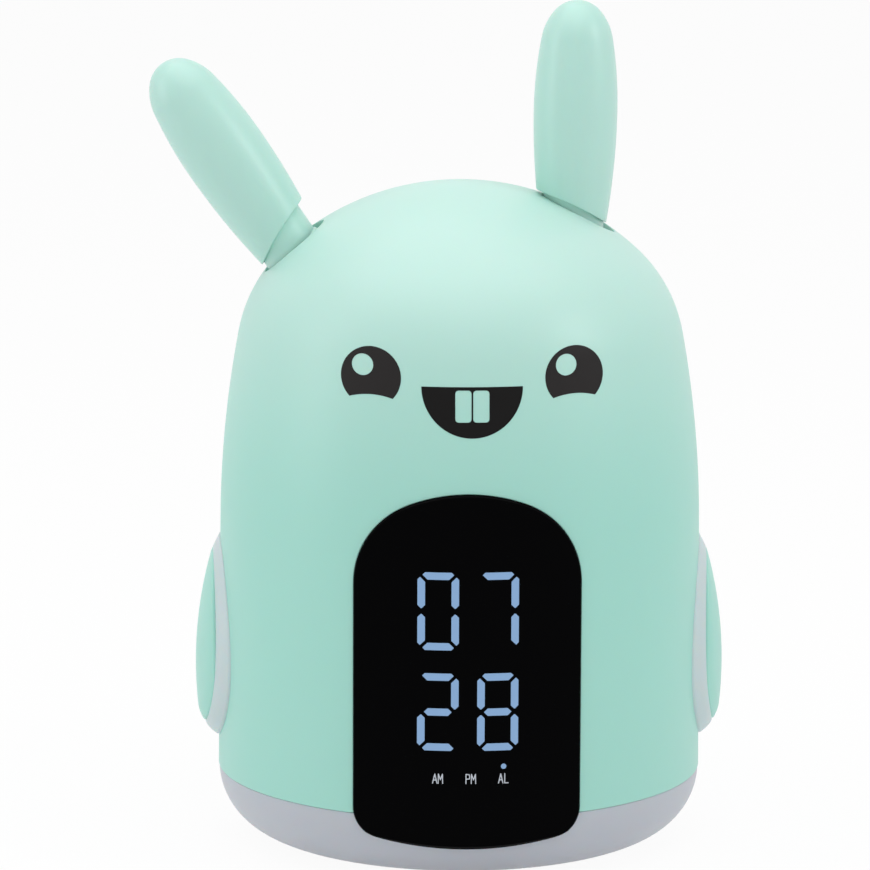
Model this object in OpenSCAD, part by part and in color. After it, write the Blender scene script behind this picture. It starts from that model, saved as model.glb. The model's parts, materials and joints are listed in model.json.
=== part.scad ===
// Bedside clock for a child: a domed body with a face, a dark display
// window, a glowing base and side plates, and two ears that lean outwards.
// Millimetres. +Z is up, the face looks along -Y, +X is the viewer's right.
// The origin is on the body's axis, in the plane on which the feet stand.

/* [Body shell] */
// Outer radius of the body where it meets the base
body_r = 60.8; // [59:0.2:64]
// Slope of the straight lower wall, in degrees
side_taper = 0.56; // [0.4:0.02:1.2]
// Height of the straight lower wall
straight_h = 63; // [55:1:70]
// Radius of the long arc above the straight wall
side_arc_r = 267; // [255:1:280]
// Radius of the shoulder
shoulder_r = 36.6; // [35:0.2:39]
// Where the shoulder ends, in degrees from straight up
shoulder_end = 79.2; // [78.4:0.2:80.4]
// Half angle of the round cap on top, in degrees
cap_angle = 42.8; // [41:0.1:45]
// Wall of the body shell
shell_wall = 2.2; // [1.8:0.1:3]

/* [Base] */
// Height of the white base under the body
base_h = 16.8; // [16.7:0.1:19]
// Step between the body's edge and the base
base_inset = 0.2; // [0.2:0.1:0.8]
// Radius of the base's rounded lower edge
base_edge_r = 16.6; // [12:0.2:16.6]
// Wall of the base
base_wall = 2; // [1.6:0.1:2.6]
// Floor of the base
base_floor = 2.4; // [2:0.1:3]
// How far the feet stand out below the base
foot_h = 1.2; // [0.8:0.1:2]
// Radius of a foot
foot_r = 5.5; // [4.5:0.1:5.8]
// Distance of the feet and base screws from the axis
foot_circle_r = 38; // [37:0.2:38.5]

/* [Display window] */
// Width of the window
lens_w = 54.9; // [50:0.1:58]
// Height of the window's top above the base's underside
lens_top = 96.6; // [90:0.1:99]
// Height of the window's bottom above the base's underside
lens_bottom = 8.9; // [8.6:0.1:11]
// Height of the arch at the top of the window
lens_arch_h = 22.5; // [21.5:0.5:24]
// Radius of the arch's two ends
lens_arch_r = 21.3; // [18:0.1:22]
// Radius of the window's lower corners
lens_corner_r = 7.4; // [4:0.2:8]
// Radius of the window's lower edge
lens_sill_r = 101; // [80:1:150]
// How far the window stands out of the body
lens_proud = 0.8; // [0.5:0.1:1.2]
// Depth of the seat that is sunk into the body
lens_seat = 1.2; // [0.8:0.1:1.4]
// Width of the opening behind the window
display_hole_w = 45; // [40:0.5:45]
// Height of the opening behind the window
display_hole_h = 58; // [56:0.5:59]

/* [Figures] */
// Height of a lit figure
digit_h = 19.1; // [16:0.1:20]
// Width of a lit figure
digit_w = 9.85; // [9:0.05:11]
// Width of one lit bar
bar_w = 1.8; // [1.5:0.1:2.2]
// Sideways place of the middle between two figures
figure_x = -0.05; // [-0.3:0.05:0.3]
// Distance between the middles of two figures in a row
digit_pitch = 14.28; // [13.4:0.02:15]
// Height of the upper row's middle above the base's underside
hours_z = 68.4; // [66:0.2:70]
// Height of the lower row's middle above the base's underside
minutes_z = 43.6; // [42:0.2:46]
// Height of the small legends
legend_h = 2.3; // [2:0.1:3]
// Height of the legends' middle above the base's underside
legend_z = 27.1; // [26:0.1:28]
// Sideways place of the middle legend
legend_x = 0.7; // [0:0.1:1]
// Distance between two legends
legend_pitch = 7.88; // [7:0.02:9]
// Radius of the lit alarm dot
dot_r = 0.65; // [0.6:0.05:1]

/* [Face] */
// Sideways distance of an eye's middle from the face's middle
eye_x = 24.5; // [22:0.5:27]
// Height of an eye's middle above the base's underside
eye_z = 124.1; // [118:0.5:128]
// Radius of an eye
eye_r = 7.15; // [6:0.1:8]
// Radius of the bare highlight in an eye
glint_r = 2.55; // [2:0.1:3]
// Radius of the cheek that cuts off the eye below
cheek_r = 16.6; // [14:0.2:20]
// Half width of the mouth
mouth_r = 12.2; // [10:0.2:13]
// Height of the mouth's upper edge above the base's underside
mouth_z = 122.4; // [118:0.2:125]
// Width of one front tooth
tooth_w = 3.9; // [3:0.1:4.5]
// Height of one front tooth
tooth_h = 7.6; // [6:0.1:8]
// Sideways place of the face's middle
face_x = 1.1; // [0:0.1:1.5]

/* [Ears] */
// Largest radius of an ear
ear_r = 10.4; // [9.8:0.1:10.8]
// Radius of the ear's tip
ear_tip_r = 7.4; // [6.8:0.1:7.6]
// Radius of the curve after the tip
ear_mid_r = 13.7; // [13:0.1:14.5]
// Radius of the lower side of the ear
ear_side_r = 184; // [176:2:240]
// Length from the tip to the middle of the rim
ear_l = 51.7; // [50:0.1:53]
// Wall of the ear
ear_wall = 1.2; // [1:0.05:1.25]
// Slope of the rim, in degrees
rim_slope = 26; // [24:0.2:26.4]
// Radius of the hollow that is cut into the rim
rim_arc_r = 38.5; // [36:0.5:45]
// Radius of the neck that carries the ear
neck_r = 7.55; // [7.2:0.05:7.6]
// Radius of the hinge pin
ear_pin_r = 1.5; // [1.2:0.1:1.8]
// How far an ear turns, in degrees
ear_swing = 14; // [8:1:14]
// Sideways place of the right ear on the dome
right_ear_x = 27.93; // [27:0.01:29]
// Lean of the right ear, in degrees
right_lean = 0.8; // [0:0.1:3]
// Lift of the right ear's rim above the dome, along the ear
right_lift = -0.2; // [-0.2:0.05:0.4]
// Sideways place of the left ear on the dome
left_ear_x = 42.88; // [42.4:0.02:43]
// Lean of the left ear, in degrees
left_lean = 34.6; // [34:0.1:36]
// Lift of the left ear's rim above the dome, along the ear
left_lift = 3.5; // [3.3:0.1:3.8]

/* [Side plates and buttons] */
// Half width of a side plate
egg_r = 18.8; // [17:0.1:20]
// Height of the plate's bottom above the base's underside
egg_bottom = 24.2; // [23:0.2:26]
// Height of the plate's top above the base's underside
egg_top = 75.4; // [73:0.2:77]
// Radius of the plate's long sides
egg_side_r = 50; // [45:1:60]
// How far the plate stands out of the body's wall, at mid height
plate_proud = 2.64; // [2.4:0.04:3]
// Backward tilt of the plate's outer face, in degrees
plate_tilt = 2.6; // [1:0.1:2.8]
// Width of the white border round the button
plate_rim = 3.4; // [3.2:0.1:4]
// Height of the button's crown above the plate
crown_h = 3.4; // [3.2:0.1:4]
// Radius of the button's face from top to bottom
crown_arc_r = 104; // [100:1:110]
// Radius of the button's face from front to back
crown_round_r = 30; // [28:1:36]
// Travel of a side button
side_travel = 1; // [0.6:0.1:1]
// Radius of a side button's stem
stem_r = 4.2; // [3.5:0.1:4.5]

/* [Back panel] */
// Width of the back panel
panel_w = 42; // [40:0.5:43]
// Height of the back panel
panel_h = 52; // [50:0.5:53]
// Height of the panel's middle above the base's underside
panel_z = 53; // [52:0.5:54]
// Thickness of the back panel
panel_t = 1.3; // [1.1:0.05:1.4]
// Radius of a key on the back
key_r = 4.2; // [3.6:0.1:4.6]
// How far a key stands out of the panel
key_proud = 1.2; // [1:0.1:1.6]
// Travel of a key
key_travel = 1; // [0.6:0.1:1]
// Radius of the loudspeaker
speaker_r = 20; // [18:0.5:20.5]
// Height of the loudspeaker's middle above the base's underside
speaker_z = 106; // [104.5:0.5:108]
// Radius of one hole in the loudspeaker grille
grille_hole_r = 1.1; // [0.8:0.1:1.3]
// Distance between two holes in the loudspeaker grille
grille_pitch = 4.6; // [4.2:0.1:5]

/* [Batteries] */
// Diameter of a backup cell
cell_d = 10.5; // [10:0.1:10.5]
// Length of a backup cell
cell_l = 44.5; // [43:0.5:44.5]

/* [Hidden] */
$fn = 96;

fit_gap = 0.15;      // gap round a part that is seated
run_gap = 0.05;      // gap of a pin that turns in its bore
slide_gap = 0.2;     // gap round a key or button that slides
ink_t = 0.1;         // thickness of printed ink and of the lit layer
board_t = 1.6;       // thickness of a circuit board
arc_step = 3;        // degrees between the points of an arc

mint = [0.72, 0.90, 0.86];
white = [0.90, 0.91, 0.94];
black = [0.05, 0.05, 0.06];
ink = [0.14, 0.13, 0.13];
board_green = [0.10, 0.38, 0.22];
steel = [0.72, 0.73, 0.75];
lit_blue = [0.62, 0.78, 0.96];
dark_plastic = [0.12, 0.12, 0.13];

// ---- levels -----------------------------------------------------------
under_z = foot_h;                   // underside of the base
split_z = under_z + base_h;         // joint between the base and the body
floor_z = under_z + base_floor;     // inner face of the base's floor

// ---- profile of the body ----------------------------------------------
// Straight wall, long side arc, shoulder and cap meet smoothly. Each arc
// is [centre r, centre z, radius, first angle, last angle], with angles
// from straight up; off moves the whole profile outwards.
cone_top_z = split_z + straight_h;
cone_top_r = body_r - straight_h * tan(side_taper);
side_c = [cone_top_r - side_arc_r * cos(side_taper), cone_top_z - side_arc_r * sin(side_taper)];
shoulder_c = [
    side_c[0] + (side_arc_r - shoulder_r) * sin(shoulder_end),
    side_c[1] + (side_arc_r - shoulder_r) * cos(shoulder_end)
];
cap_r = shoulder_r + shoulder_c[0] / sin(cap_angle);
cap_z = shoulder_c[1] - (cap_r - shoulder_r) * cos(cap_angle);
dome_top_z = cap_z + cap_r;

function arc_points(c, r, a0, a1, step = arc_step) =
    let (n = max(1, ceil(abs(a1 - a0) / step)))
    [for (i = [0:n]) let (a = a0 + (a1 - a0) * i / n) [c[0] + r * sin(a), c[1] + r * cos(a)]];

function body_profile(off, z_low) = concat(
    [[0, z_low]],
    arc_points([0, cap_z], cap_r + off, 0, cap_angle),
    arc_points(shoulder_c, shoulder_r + off, cap_angle + arc_step, shoulder_end),
    arc_points(side_c, side_arc_r + off, shoulder_end + 1, 90 - side_taper, 1),
    [[cone_top_r + off / cos(side_taper) + (cone_top_z - z_low) * tan(side_taper), z_low]]
);

// Solid inside the body's surface, moved outwards by off
module body_solid(off = 0, z_low = split_z) {
    rotate_extrude($fn = 180) polygon(body_profile(off, z_low));
}

// Radius of the straight wall at a height, and its distance in Y at x
function wall_r(z) = body_r - (z - split_z) * tan(side_taper);
function wall_y(x, z, off = 0) = sqrt(pow(wall_r(z) + off, 2) - x * x);

// Height of the dome at a distance x from the axis
function dome_z(x) = x < cap_r * sin(cap_angle)
    ? cap_z + sqrt(cap_r * cap_r - x * x)
    : shoulder_c[1] + sqrt(shoulder_r * shoulder_r - pow(x - shoulder_c[0], 2));

far_y = body_r + 9;  // clear of the body, for what is cut or drawn through its wall

// ---- profile of the base ----------------------------------------------
base_r = body_r - base_inset;
function base_profile(off) = concat(
    [[0, under_z - off], [base_r - base_edge_r, under_z - off]],
    [for (a = [174:-6:96]) [base_r - base_edge_r + (base_edge_r + off) * sin(a),
        under_z + base_edge_r + (base_edge_r + off) * cos(a)]],
    [[base_r + off, under_z + base_edge_r], [base_r + off, split_z], [0, split_z]]
);

module base_solid(off = 0) {
    rotate_extrude($fn = 180) polygon(base_profile(off));
}

// A prism along Y from an outline drawn in X and Z
module prism_y(y0, y1) {
    translate([0, y1, 0]) rotate([90, 0, 0]) linear_extrude(y1 - y0) children();
}

// A cylinder along Y
module rod_y(r, y0, y1, x = 0, z = 0, sides = 48) {
    translate([x, y1, z]) rotate([90, 0, 0]) cylinder(r = r, h = y1 - y0, $fn = sides);
}

// A box from its two corners
module block(low, high) {
    translate(low) cube([high[0] - low[0], high[1] - low[1], high[2] - low[2]]);
}

// ---- display window ----------------------------------------------------
lens_bevel = 1.1;    // bevel along the window's lower edge
function lens_points(grow) =
    let (
        w = lens_w / 2 + grow,
        rc = lens_corner_r + grow,
        rb = lens_sill_r + grow,
        rs = lens_arch_r + grow,
        b = lens_arch_h + grow,
        sill_c = under_z + lens_bottom + lens_sill_r,
        corner_z = sill_c - sqrt(pow(rb - rc, 2) - pow(w - rc, 2)),
        spring_z = under_z + lens_top - lens_arch_h,
        rt = (pow(w - rs, 2) + b * b - rs * rs) / (2 * (b - rs)),
        top_z = spring_z + b - rt,
        ta = atan2(w - rs, spring_z - top_z),
        ca = atan2(w - rc, corner_z - sill_c)
    )
    concat(
        arc_points([0, sill_c], rb, 360 - ca, ca, 6),
        arc_points([w - rc, corner_z], rc, ca - 8, 90, 8),
        arc_points([w - rs, spring_z], rs, 90, ta, 8),
        arc_points([0, top_z], rt, ta - 5, 5 - ta, 5),
        arc_points([rs - w, spring_z], rs, -ta, -90, 8),
        arc_points([rc - w, corner_z], rc, -90, 8 - ca, 8)
    );

module lens_outline(grow = 0) {
    polygon(lens_points(grow));
}

// ---- ears --------------------------------------------------------------
ear_tip_a = 48;      // normal at the end of the tip's arc, from the ear's axis
ear_mid_a = 80;      // normal at the end of the curve after it
ear_up_r = (ear_r - ear_tip_r * sin(ear_tip_a) - ear_mid_r * (sin(ear_mid_a) - sin(ear_tip_a)))
    / (1 - sin(ear_mid_a));
ear_tip_c = ear_l - ear_tip_r;
ear_mid_c = [
    (ear_tip_r - ear_mid_r) * sin(ear_tip_a),
    ear_tip_c + (ear_tip_r - ear_mid_r) * cos(ear_tip_a)
];
ear_up_c = [
    ear_mid_c[0] + (ear_mid_r - ear_up_r) * sin(ear_mid_a),
    ear_mid_c[1] + (ear_mid_r - ear_up_r) * cos(ear_mid_a)
];
ear_low_z = -12;     // lowest point of the blank from which the rim is cut
ear_low_a = asin((ear_up_c[1] - ear_low_z) / ear_side_r);
neck_low_z = -18;    // lower end of the neck, from the middle of the rim
neck_top_z = 7;      // upper end of the neck, inside the ear
ear_floor_z = 3.5;   // below this level the ear is solid round its neck
hinge = [5, -12.2];  // the hinge pin's place: outwards and along the ear
hub_r = 3.2;         // radius of the neck's hub round the pin
hub_half = 8.2;      // half length of the hub
washer_t = 0.4;      // thickness of a friction washer
lug_y = hub_half + washer_t + 2 * run_gap;
lug_t = 2.5;         // thickness of a lug that holds the pin
lug_r = 4.2;         // radius of a lug round the pin
lug_h = 14;          // height of a lug above the pin
lug_turn = 40;       // turn of an upright ear's lugs about the pin, in degrees
neck_gap = 0.4;      // gap round a neck where it passes the dome
rim_reach = 0.87;    // where the rim's hollow meets its own middle line, as a share of ear_r

// Middle of an ear's rim, lifted from the dome along the ear; mirrored on the left
function ear_root(x, lift, lean) = [x + lift * sin(lean), dome_z(x) + lift * cos(lean)];
right_root = ear_root(right_ear_x, right_lift, right_lean);
left_root = ear_root(left_ear_x, left_lift, left_lean);

function ear_profile(off) = concat(
    [[0, ear_low_z - 1]],
    arc_points([0, ear_tip_c], ear_tip_r + off, 0, ear_tip_a, 8),
    arc_points(ear_mid_c, ear_mid_r + off, ear_tip_a + 8, ear_mid_a, 8),
    arc_points(ear_up_c, ear_up_r + off, ear_mid_a + 2, 90, 2.5),
    arc_points([ear_r - ear_side_r, ear_up_c[1]], ear_side_r + off, 92.5, 90 + ear_low_a, 2.5),
    [[ear_r - ear_side_r + (ear_side_r + off) * cos(ear_low_a), ear_low_z - 1]]
);

// Puts a part drawn along the ear's axis in its place on the head
module on_head(side, root, lean) {
    mirror([side < 0 ? 1 : 0, 0, 0])
        translate([root[0], 0, root[1]]) rotate([0, lean, 0]) children();
}

module turned_at_hinge(a) {
    translate([hinge[0], 0, hinge[1]]) rotate([0, a, 0]) translate([-hinge[0], 0, -hinge[1]]) children();
}

module ear_shell() {
    rim_drop = sqrt(pow(rim_arc_r, 2) - pow(ear_r * rim_reach / cos(rim_slope), 2));
    difference() {
        rotate_extrude($fn = 96) polygon(ear_profile(0));
        intersection() {
            rotate_extrude($fn = 96) polygon(ear_profile(-ear_wall));
            translate([0, 0, ear_floor_z]) cylinder(r = ear_r, h = ear_l);
        }
        translate([0, 0, ear_low_z - 2]) cylinder(r = neck_r, h = -ear_low_z + neck_top_z + 2);
        rotate([0, rim_slope, 0]) rod_y(rim_arc_r, -2 * ear_r, 2 * ear_r, 0, -rim_drop, 180);
    }
}

module ear_neck() {
    difference() {
        union() {
            translate([0, 0, neck_low_z]) cylinder(r = neck_r, h = neck_top_z - neck_low_z);
            rod_y(hub_r, -hub_half, hub_half, hinge[0], hinge[1]);
        }
        translate([0, 0, hinge[1] + hub_r + 2])
            cylinder(r = neck_r - ear_wall, h = neck_top_z - hinge[1]);
        rod_y(ear_pin_r + run_gap, -hub_half - 1, hub_half + 1, hinge[0], hinge[1]);
    }
}

module ear_pin() {
    rod_y(ear_pin_r, -lug_y - lug_t, lug_y + lug_t, hinge[0], hinge[1]);
}

module ear_washers() {
    for (s = [-1, 1]) {
        y = s * (hub_half + run_gap + washer_t / 2);
        difference() {
            rod_y(hub_r, y - washer_t / 2, y + washer_t / 2, hinge[0], hinge[1]);
            rod_y(ear_pin_r + run_gap, y - washer_t, y + washer_t, hinge[0], hinge[1]);
        }
    }
}

// What the dome loses where the neck passes, over the ear's whole travel
module neck_sweep(out) {
    for (a = [0, 0.5, 1]) turned_at_hinge(out * a * ear_swing)
        translate([0, 0, neck_low_z]) cylinder(r = neck_r + neck_gap, h = 2 * neck_top_z - neck_low_z);
    rod_y(hub_r + neck_gap, -hub_half - run_gap, hub_half + run_gap, hinge[0], hinge[1]);
}

// Two lugs that hang from the dome and hold the pin
module ear_lugs(lean) {
    for (s = [-1, 1]) {
        y = s * (lug_y + lug_t / 2);
        rod_y(lug_r, y - lug_t / 2, y + lug_t / 2, hinge[0], hinge[1]);
        translate([hinge[0], y, hinge[1]]) rotate([0, lug_turn - lean, 0])
            translate([-lug_r, -lug_t / 2, 0]) cube([2 * lug_r, lug_t, lug_h]);
    }
}

// ---- side plates and buttons ------------------------------------------
// Drawn with X pointing outwards from the plate's outer face
plate_h = egg_top - egg_bottom;
plate_z = under_z + (egg_bottom + egg_top) / 2 + 0.2;   // level of the stem and of that face's origin
plate_x = wall_r(plate_z) + plate_proud;                // distance of that face from the axis
plate_depth = 8;     // deeper than the plate reaches down the round wall
egg_c = under_z + egg_bottom + egg_r - plate_z;         // middle of the egg's round end
stem_end = -9.8;     // inner end of the stem
clip_x = -6.2;       // inner face of the clip that holds the button
clip_t = 0.8;        // thickness of the clip
side_board_x = -16.4;               // inner face of the switch board
side_board_half = [20, 17];         // half width and half height of the switch board
side_boss_z = 13;    // bosses above and below the stem
side_window_y = 17;  // windows that let light into the plate
side_window_r = 1.4; // radius of those windows
flank_foot = wall_y(egg_r, plate_z) - plate_x;          // where the plate's sloping flank starts
flank_top = 1.4;     // and where it would end, outside the face
flank_slope = 0.8;   // how far the flank's sides lean inwards for each mm of height
flank_low = [5, 1];  // at the flank's foot: how far the egg's ends are moved apart, and upwards
flank_high = [-0.4, -2.2];                              // the same at its outer end
crown_mid_z = -7.5;  // the crown's highest point, from the plate's level

// The egg as points in Y and Z, moved outwards by grow, with its two
// ends moved apart by stretch and its long sides made flatter to suit
function egg_points(grow, stretch = 0) =
    let (
        len = egg_top - egg_bottom - egg_r + 2 * stretch,
        side_r = egg_side_r + 8 * stretch,
        reach = side_r - egg_r,
        d = (reach * reach - pow(side_r - len, 2)) / (2 * (side_r - len)),
        a = atan2(reach, d),
        z0 = egg_c - stretch
    )
    concat(
        arc_points([0, z0 + d], len - d + grow, -a, a, 8),
        arc_points([egg_r - side_r, z0], side_r + grow, a + 4, 86, 4),
        arc_points([0, z0], egg_r + grow, 90, 270, 7.5),
        arc_points([side_r - egg_r, z0], side_r + grow, -86, -a - 4, 4)
    );

// The egg outline as a prism along X
module egg_prism(grow, x0, x1, stretch = 0) {
    translate([x0, 0, 0]) rotate([90, 0, 90]) linear_extrude(x1 - x0) polygon(egg_points(grow, stretch));
}

module rod_x(r, x0, x1, y = 0, z = 0) {
    translate([x0, y, z]) rotate([0, 90, 0]) cylinder(r = r, h = x1 - x0, $fn = 48);
}

// X points outwards from the plate's face
module at_side(side) {
    mirror([side < 0 ? 1 : 0, 0, 0]) translate([plate_x, 0, plate_z]) children();
}

// Everything inside the plate's outer face, which follows the round body
module plate_face_solid() {
    lean = plate_h * tan(plate_tilt);
    translate([0, 0, plate_z - plate_h])
        cylinder(r1 = plate_x + lean, r2 = plate_x - lean, h = 2 * plate_h, $fn = 180);
}

module light_plate(side) {
    thin = 0.02;
    draw_in = flank_slope * (flank_top - flank_foot);
    difference() {
        intersection() {
            plate_face_solid();
            at_side(side) egg_prism(0, -plate_depth, plate_proud);
            at_side(side) hull() {
                translate([0, 0, flank_low[1]]) egg_prism(0, flank_foot - thin, flank_foot, flank_low[0]);
                translate([0, 0, flank_high[1]])
                    egg_prism(-draw_in, flank_top - thin, flank_top, flank_high[0]);
            }
        }
        body_solid(0, under_z);
        at_side(side) egg_prism(-plate_rim, -plate_depth - 1, plate_proud + 1);
    }
}

module side_button(side) {
    difference() {
        at_side(side) intersection() {
            egg_prism(-plate_rim - slide_gap, -plate_depth, crown_h + 1);
            translate([crown_h - crown_round_r, 0, crown_mid_z]) rotate_extrude($fn = 180)
                intersection() {
                    translate([crown_round_r - crown_arc_r, 0]) circle(r = crown_arc_r, $fn = 240);
                    translate([0, -plate_h]) square([crown_round_r + 1, 2 * plate_h]);
                }
        }
        body_solid(slide_gap + side_travel, under_z);
    }
}

module side_stem(side) {
    at_side(side) rod_x(stem_r, stem_end, 0.5);
}

module button_clip(side) {
    at_side(side) difference() {
        rod_x(stem_r + 2.3, clip_x, clip_x + clip_t);
        rod_x(stem_r, clip_x - 1, clip_x + clip_t + 1);
    }
}

module switch_board(side) {
    at_side(side) difference() {
        block([side_board_x, -side_board_half[0], -side_board_half[1]],
            [side_board_x + board_t, side_board_half[0], side_board_half[1]]);
        for (s = [-1, 1])
            rod_x(board_hole_r, side_board_x - 1, side_board_x + board_t + 1, 0, s * side_boss_z);
    }
}

module side_switch(side) {
    x0 = side_board_x + board_t;
    at_side(side) {
        block([x0, -switch_half, -switch_half], [x0 + switch_h, switch_half, switch_half]);
        rod_x(plunger_r, x0 + switch_h - 0.1, stem_end - side_travel - fit_gap);
    }
}

module plate_leds(side) {
    for (s = [-1, 1]) at_side(side)
        translate([side_board_x + board_t, s * side_window_y - led_w / 2, -led_w / 2])
            cube([led_h, led_w, led_w]);
}

// Bosses that carry the switch board, and the holes through the wall
module side_bosses(side) {
    at_side(side) for (s = [-1, 1]) rod_x(boss_r, side_board_x + board_t, 0, 0, s * side_boss_z);
}

module side_holes(side) {
    at_side(side) {
        rod_x(stem_r + slide_gap, -plate_depth - 1, 0);
        for (s = [-1, 1]) {
            rod_x(side_window_r, -plate_depth - 2, 0, s * side_window_y, 0);
            rod_x(screw_hole_r, side_board_x - 1, side_board_x + side_hole_l, 0, s * side_boss_z);
        }
    }
}

// ---- boards behind the display and the back panel ----------------------
display_z = under_z + (hours_z + minutes_z) / 2 - 0.4;    // middle of the display opening
display_front_y = 7.4 - body_r;     // front face of the display block
display_board_y = display_front_y + 11.6;               // front face of the display board
display_boss = [29.5, 26];          // screws: sideways, and above and below the middle
display_board_half = [33.5, 31];    // half width and half height of the display board
main_board_y = body_r - 18;         // inner face of the main board
main_boss = [30, 22];               // its screws: sideways, and above and below the middle
main_board_half = [34, 27];         // half width and half height of the main board
panel_mid_z = under_z + panel_z;
main_out_y = main_board_y + board_t;
boss_r = 3;                         // radius of a boss that takes a board's screw
board_hole_r = 1.2;                 // radius of a screw's hole in a board
screw_hole_r = 1;                   // radius of a board screw and of its hole in a boss
side_hole_l = 10;                   // depth of that hole behind a switch board
panel_corner_r = 5;                 // radius of the back panel's corners
switch_half = 3;                    // half side of a switch
switch_h = 3.4;                     // height of a switch without its plunger
plunger_r = 1.7;
plunger_h = 0.5;                    // how far a key's plunger stands out of its switch
key_flange_t = 1;
key_flange_w = 1;                   // how far a key's flange stands out behind the panel
key_stem_r = 2;
key_edge = 0.6;                     // bevel round a key's face
key_back_y = main_out_y + switch_h + plunger_h + key_travel + fit_gap;
key_side_x = 13;                    // sideways place of the outer keys
key_places = [[0, 17], [-key_side_x, 5], [key_side_x, 5], [-key_side_x, -9], [key_side_x, -9]];
// Width of the ledge round the back opening, clear of the outer keys' flanges
ledge = panel_w / 2 - key_side_x - key_r - key_flange_w - 0.4;
usb_z = panel_mid_z - 19.5;
usb_half = [4.47, 1.6];             // half width and half height of the socket's mouth
usb_l = 8.8;                        // length of the socket
usb_wall = 0.3;
usb_mouth_y = wall_y(0, usb_z) - 0.4;
usb_board_half = 8;                 // half width of the socket's board

module rounded_outline(w, h, r) {
    union() {
        square([w - 2 * r, h], center = true);
        square([w, h - 2 * r], center = true);
        for (sx = [-1, 1], sy = [-1, 1])
            translate([sx * (w / 2 - r), sy * (h / 2 - r)]) circle(r = r, $fn = 48);
    }
}

module panel_prism(shrink, r) {
    prism_y(main_out_y, far_y) translate([0, panel_mid_z])
        rounded_outline(panel_w - 2 * shrink, panel_h - 2 * shrink, r);
}

// ---- loudspeaker ---------------------------------------------------------
speaker_mid_z = under_z + speaker_z;
speaker_y = body_r - 14.5;          // back of the loudspeaker's flange
speaker_flange_t = 1.5;
speaker_gap = 0.3;                  // gap round the loudspeaker in its tube
tube_wall = 1.7;                    // wall of the tube that holds it
speaker_seat = 2.5;                 // width of the ledge on which its flange sits
magnet_r = 9.5;
magnet_t = 7;
basket_depth = 7.6;                 // depth of the basket behind its flange
basket_back_r = 10;                 // radius of the basket's back
grille_share = 0.72;                // share of the loudspeaker's radius that is drilled

module grille_holes() {
    for (i = [-3:3], j = [-3:3]) {
        x = grille_pitch * (i + j / 2);
        z = grille_pitch * j * sin(60);
        if (norm([x, z]) < speaker_r * grille_share)
            rod_y(grille_hole_r, speaker_y + speaker_flange_t, far_y, x, speaker_mid_z + z, 24);
    }
}

// ---- battery bay ---------------------------------------------------------
cell_pitch = cell_d + 0.5;
bay = [cell_l / 2 + 2.05, 1.5 * cell_pitch + 0.4];   // half size of the bay
door_t = 1.8;
door_lap = 2.1;                     // how far the door covers the bay's long edges
door_low = [-bay[0] - 2.7, -bay[1] - door_lap];
door_high = [bay[0] + 8.7, bay[1] + door_lap];
door_screw_x = bay[0] + 5.2;
door_screw_post = [2.6, 8];         // radius and height of the post that takes the door's screw
door_screw_head = [2.3, 0.95];      // radius and height of that screw's head
door_tongue = [1.6, 3];             // length and half width of a tongue on the door
door_tongue_y = 8;                  // sideways place of a tongue
door_grip = [4, 2.4, 8];            // finger grooves: first one, pitch, half length
ledge_z = under_z + 3.6;            // upper face of the ledge round the bay
ledge_side = 2;                     // how far that ledge runs past the door
cell_z = under_z + door_t + 0.3 + cell_d / 2;
cell_cap = [2.4, 0.8];              // radius and height of a cell's positive cap
contact_half = [4.6, 3.5];          // half width and half height of a contact plate
contact_t = 0.3;
contact_spring_r = 3;
box_wall = 2;
box_roof = 1.5;
box_top_z = cell_z + cell_d / 2 + 0.35 + box_roof;

// ---- pillars that hold the base ------------------------------------------
pillar_r = 3.6;
pillar_low_z = split_z - 9.9;
pillar_top_z = split_z + 44;
rib_t = 2;                          // thickness of a rib between a pillar and the wall
screw_r = 1.5;
screw_head = [2.9, 1.8];            // radius and height of a base screw's head
screw_slot = [1.6, 0.7, 0.9];       // its cross slot: half length, width, depth
base_screw_l = 14;                  // length of a base screw under its head
board_screw_l = 6;                  // depth of a board screw's hole behind the board
board_screw_head = [2.2, 1.5];      // radius and height of a board screw's head
foot_recess = 1;                    // depth of the pocket in which a foot sits
pillar_places = [for (a = [45:90:315]) foot_circle_r * [cos(a), sin(a)]];
post_r = 5.2;                       // radius of a post in the base that meets a pillar
tongue_r = body_r - shell_wall - 0.4;                   // the base's tongue inside the body
tongue_t = 1.5;
tongue_top_z = split_z + 3.2;
tongue_root = 4;                    // how far the tongue's root reaches down into the base
ring_top_z = tongue_top_z + board_t;
ring_r = tongue_r - 0.2;            // outer radius of the ring board
ring_w = 11.2;                      // width of the ring board
led_w = 3.2;                        // side of a light-emitting diode
led_h = 1.5;                        // its height

module at_pillars() {
    for (p = pillar_places) translate([p[0], p[1], 0]) children();
}

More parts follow.
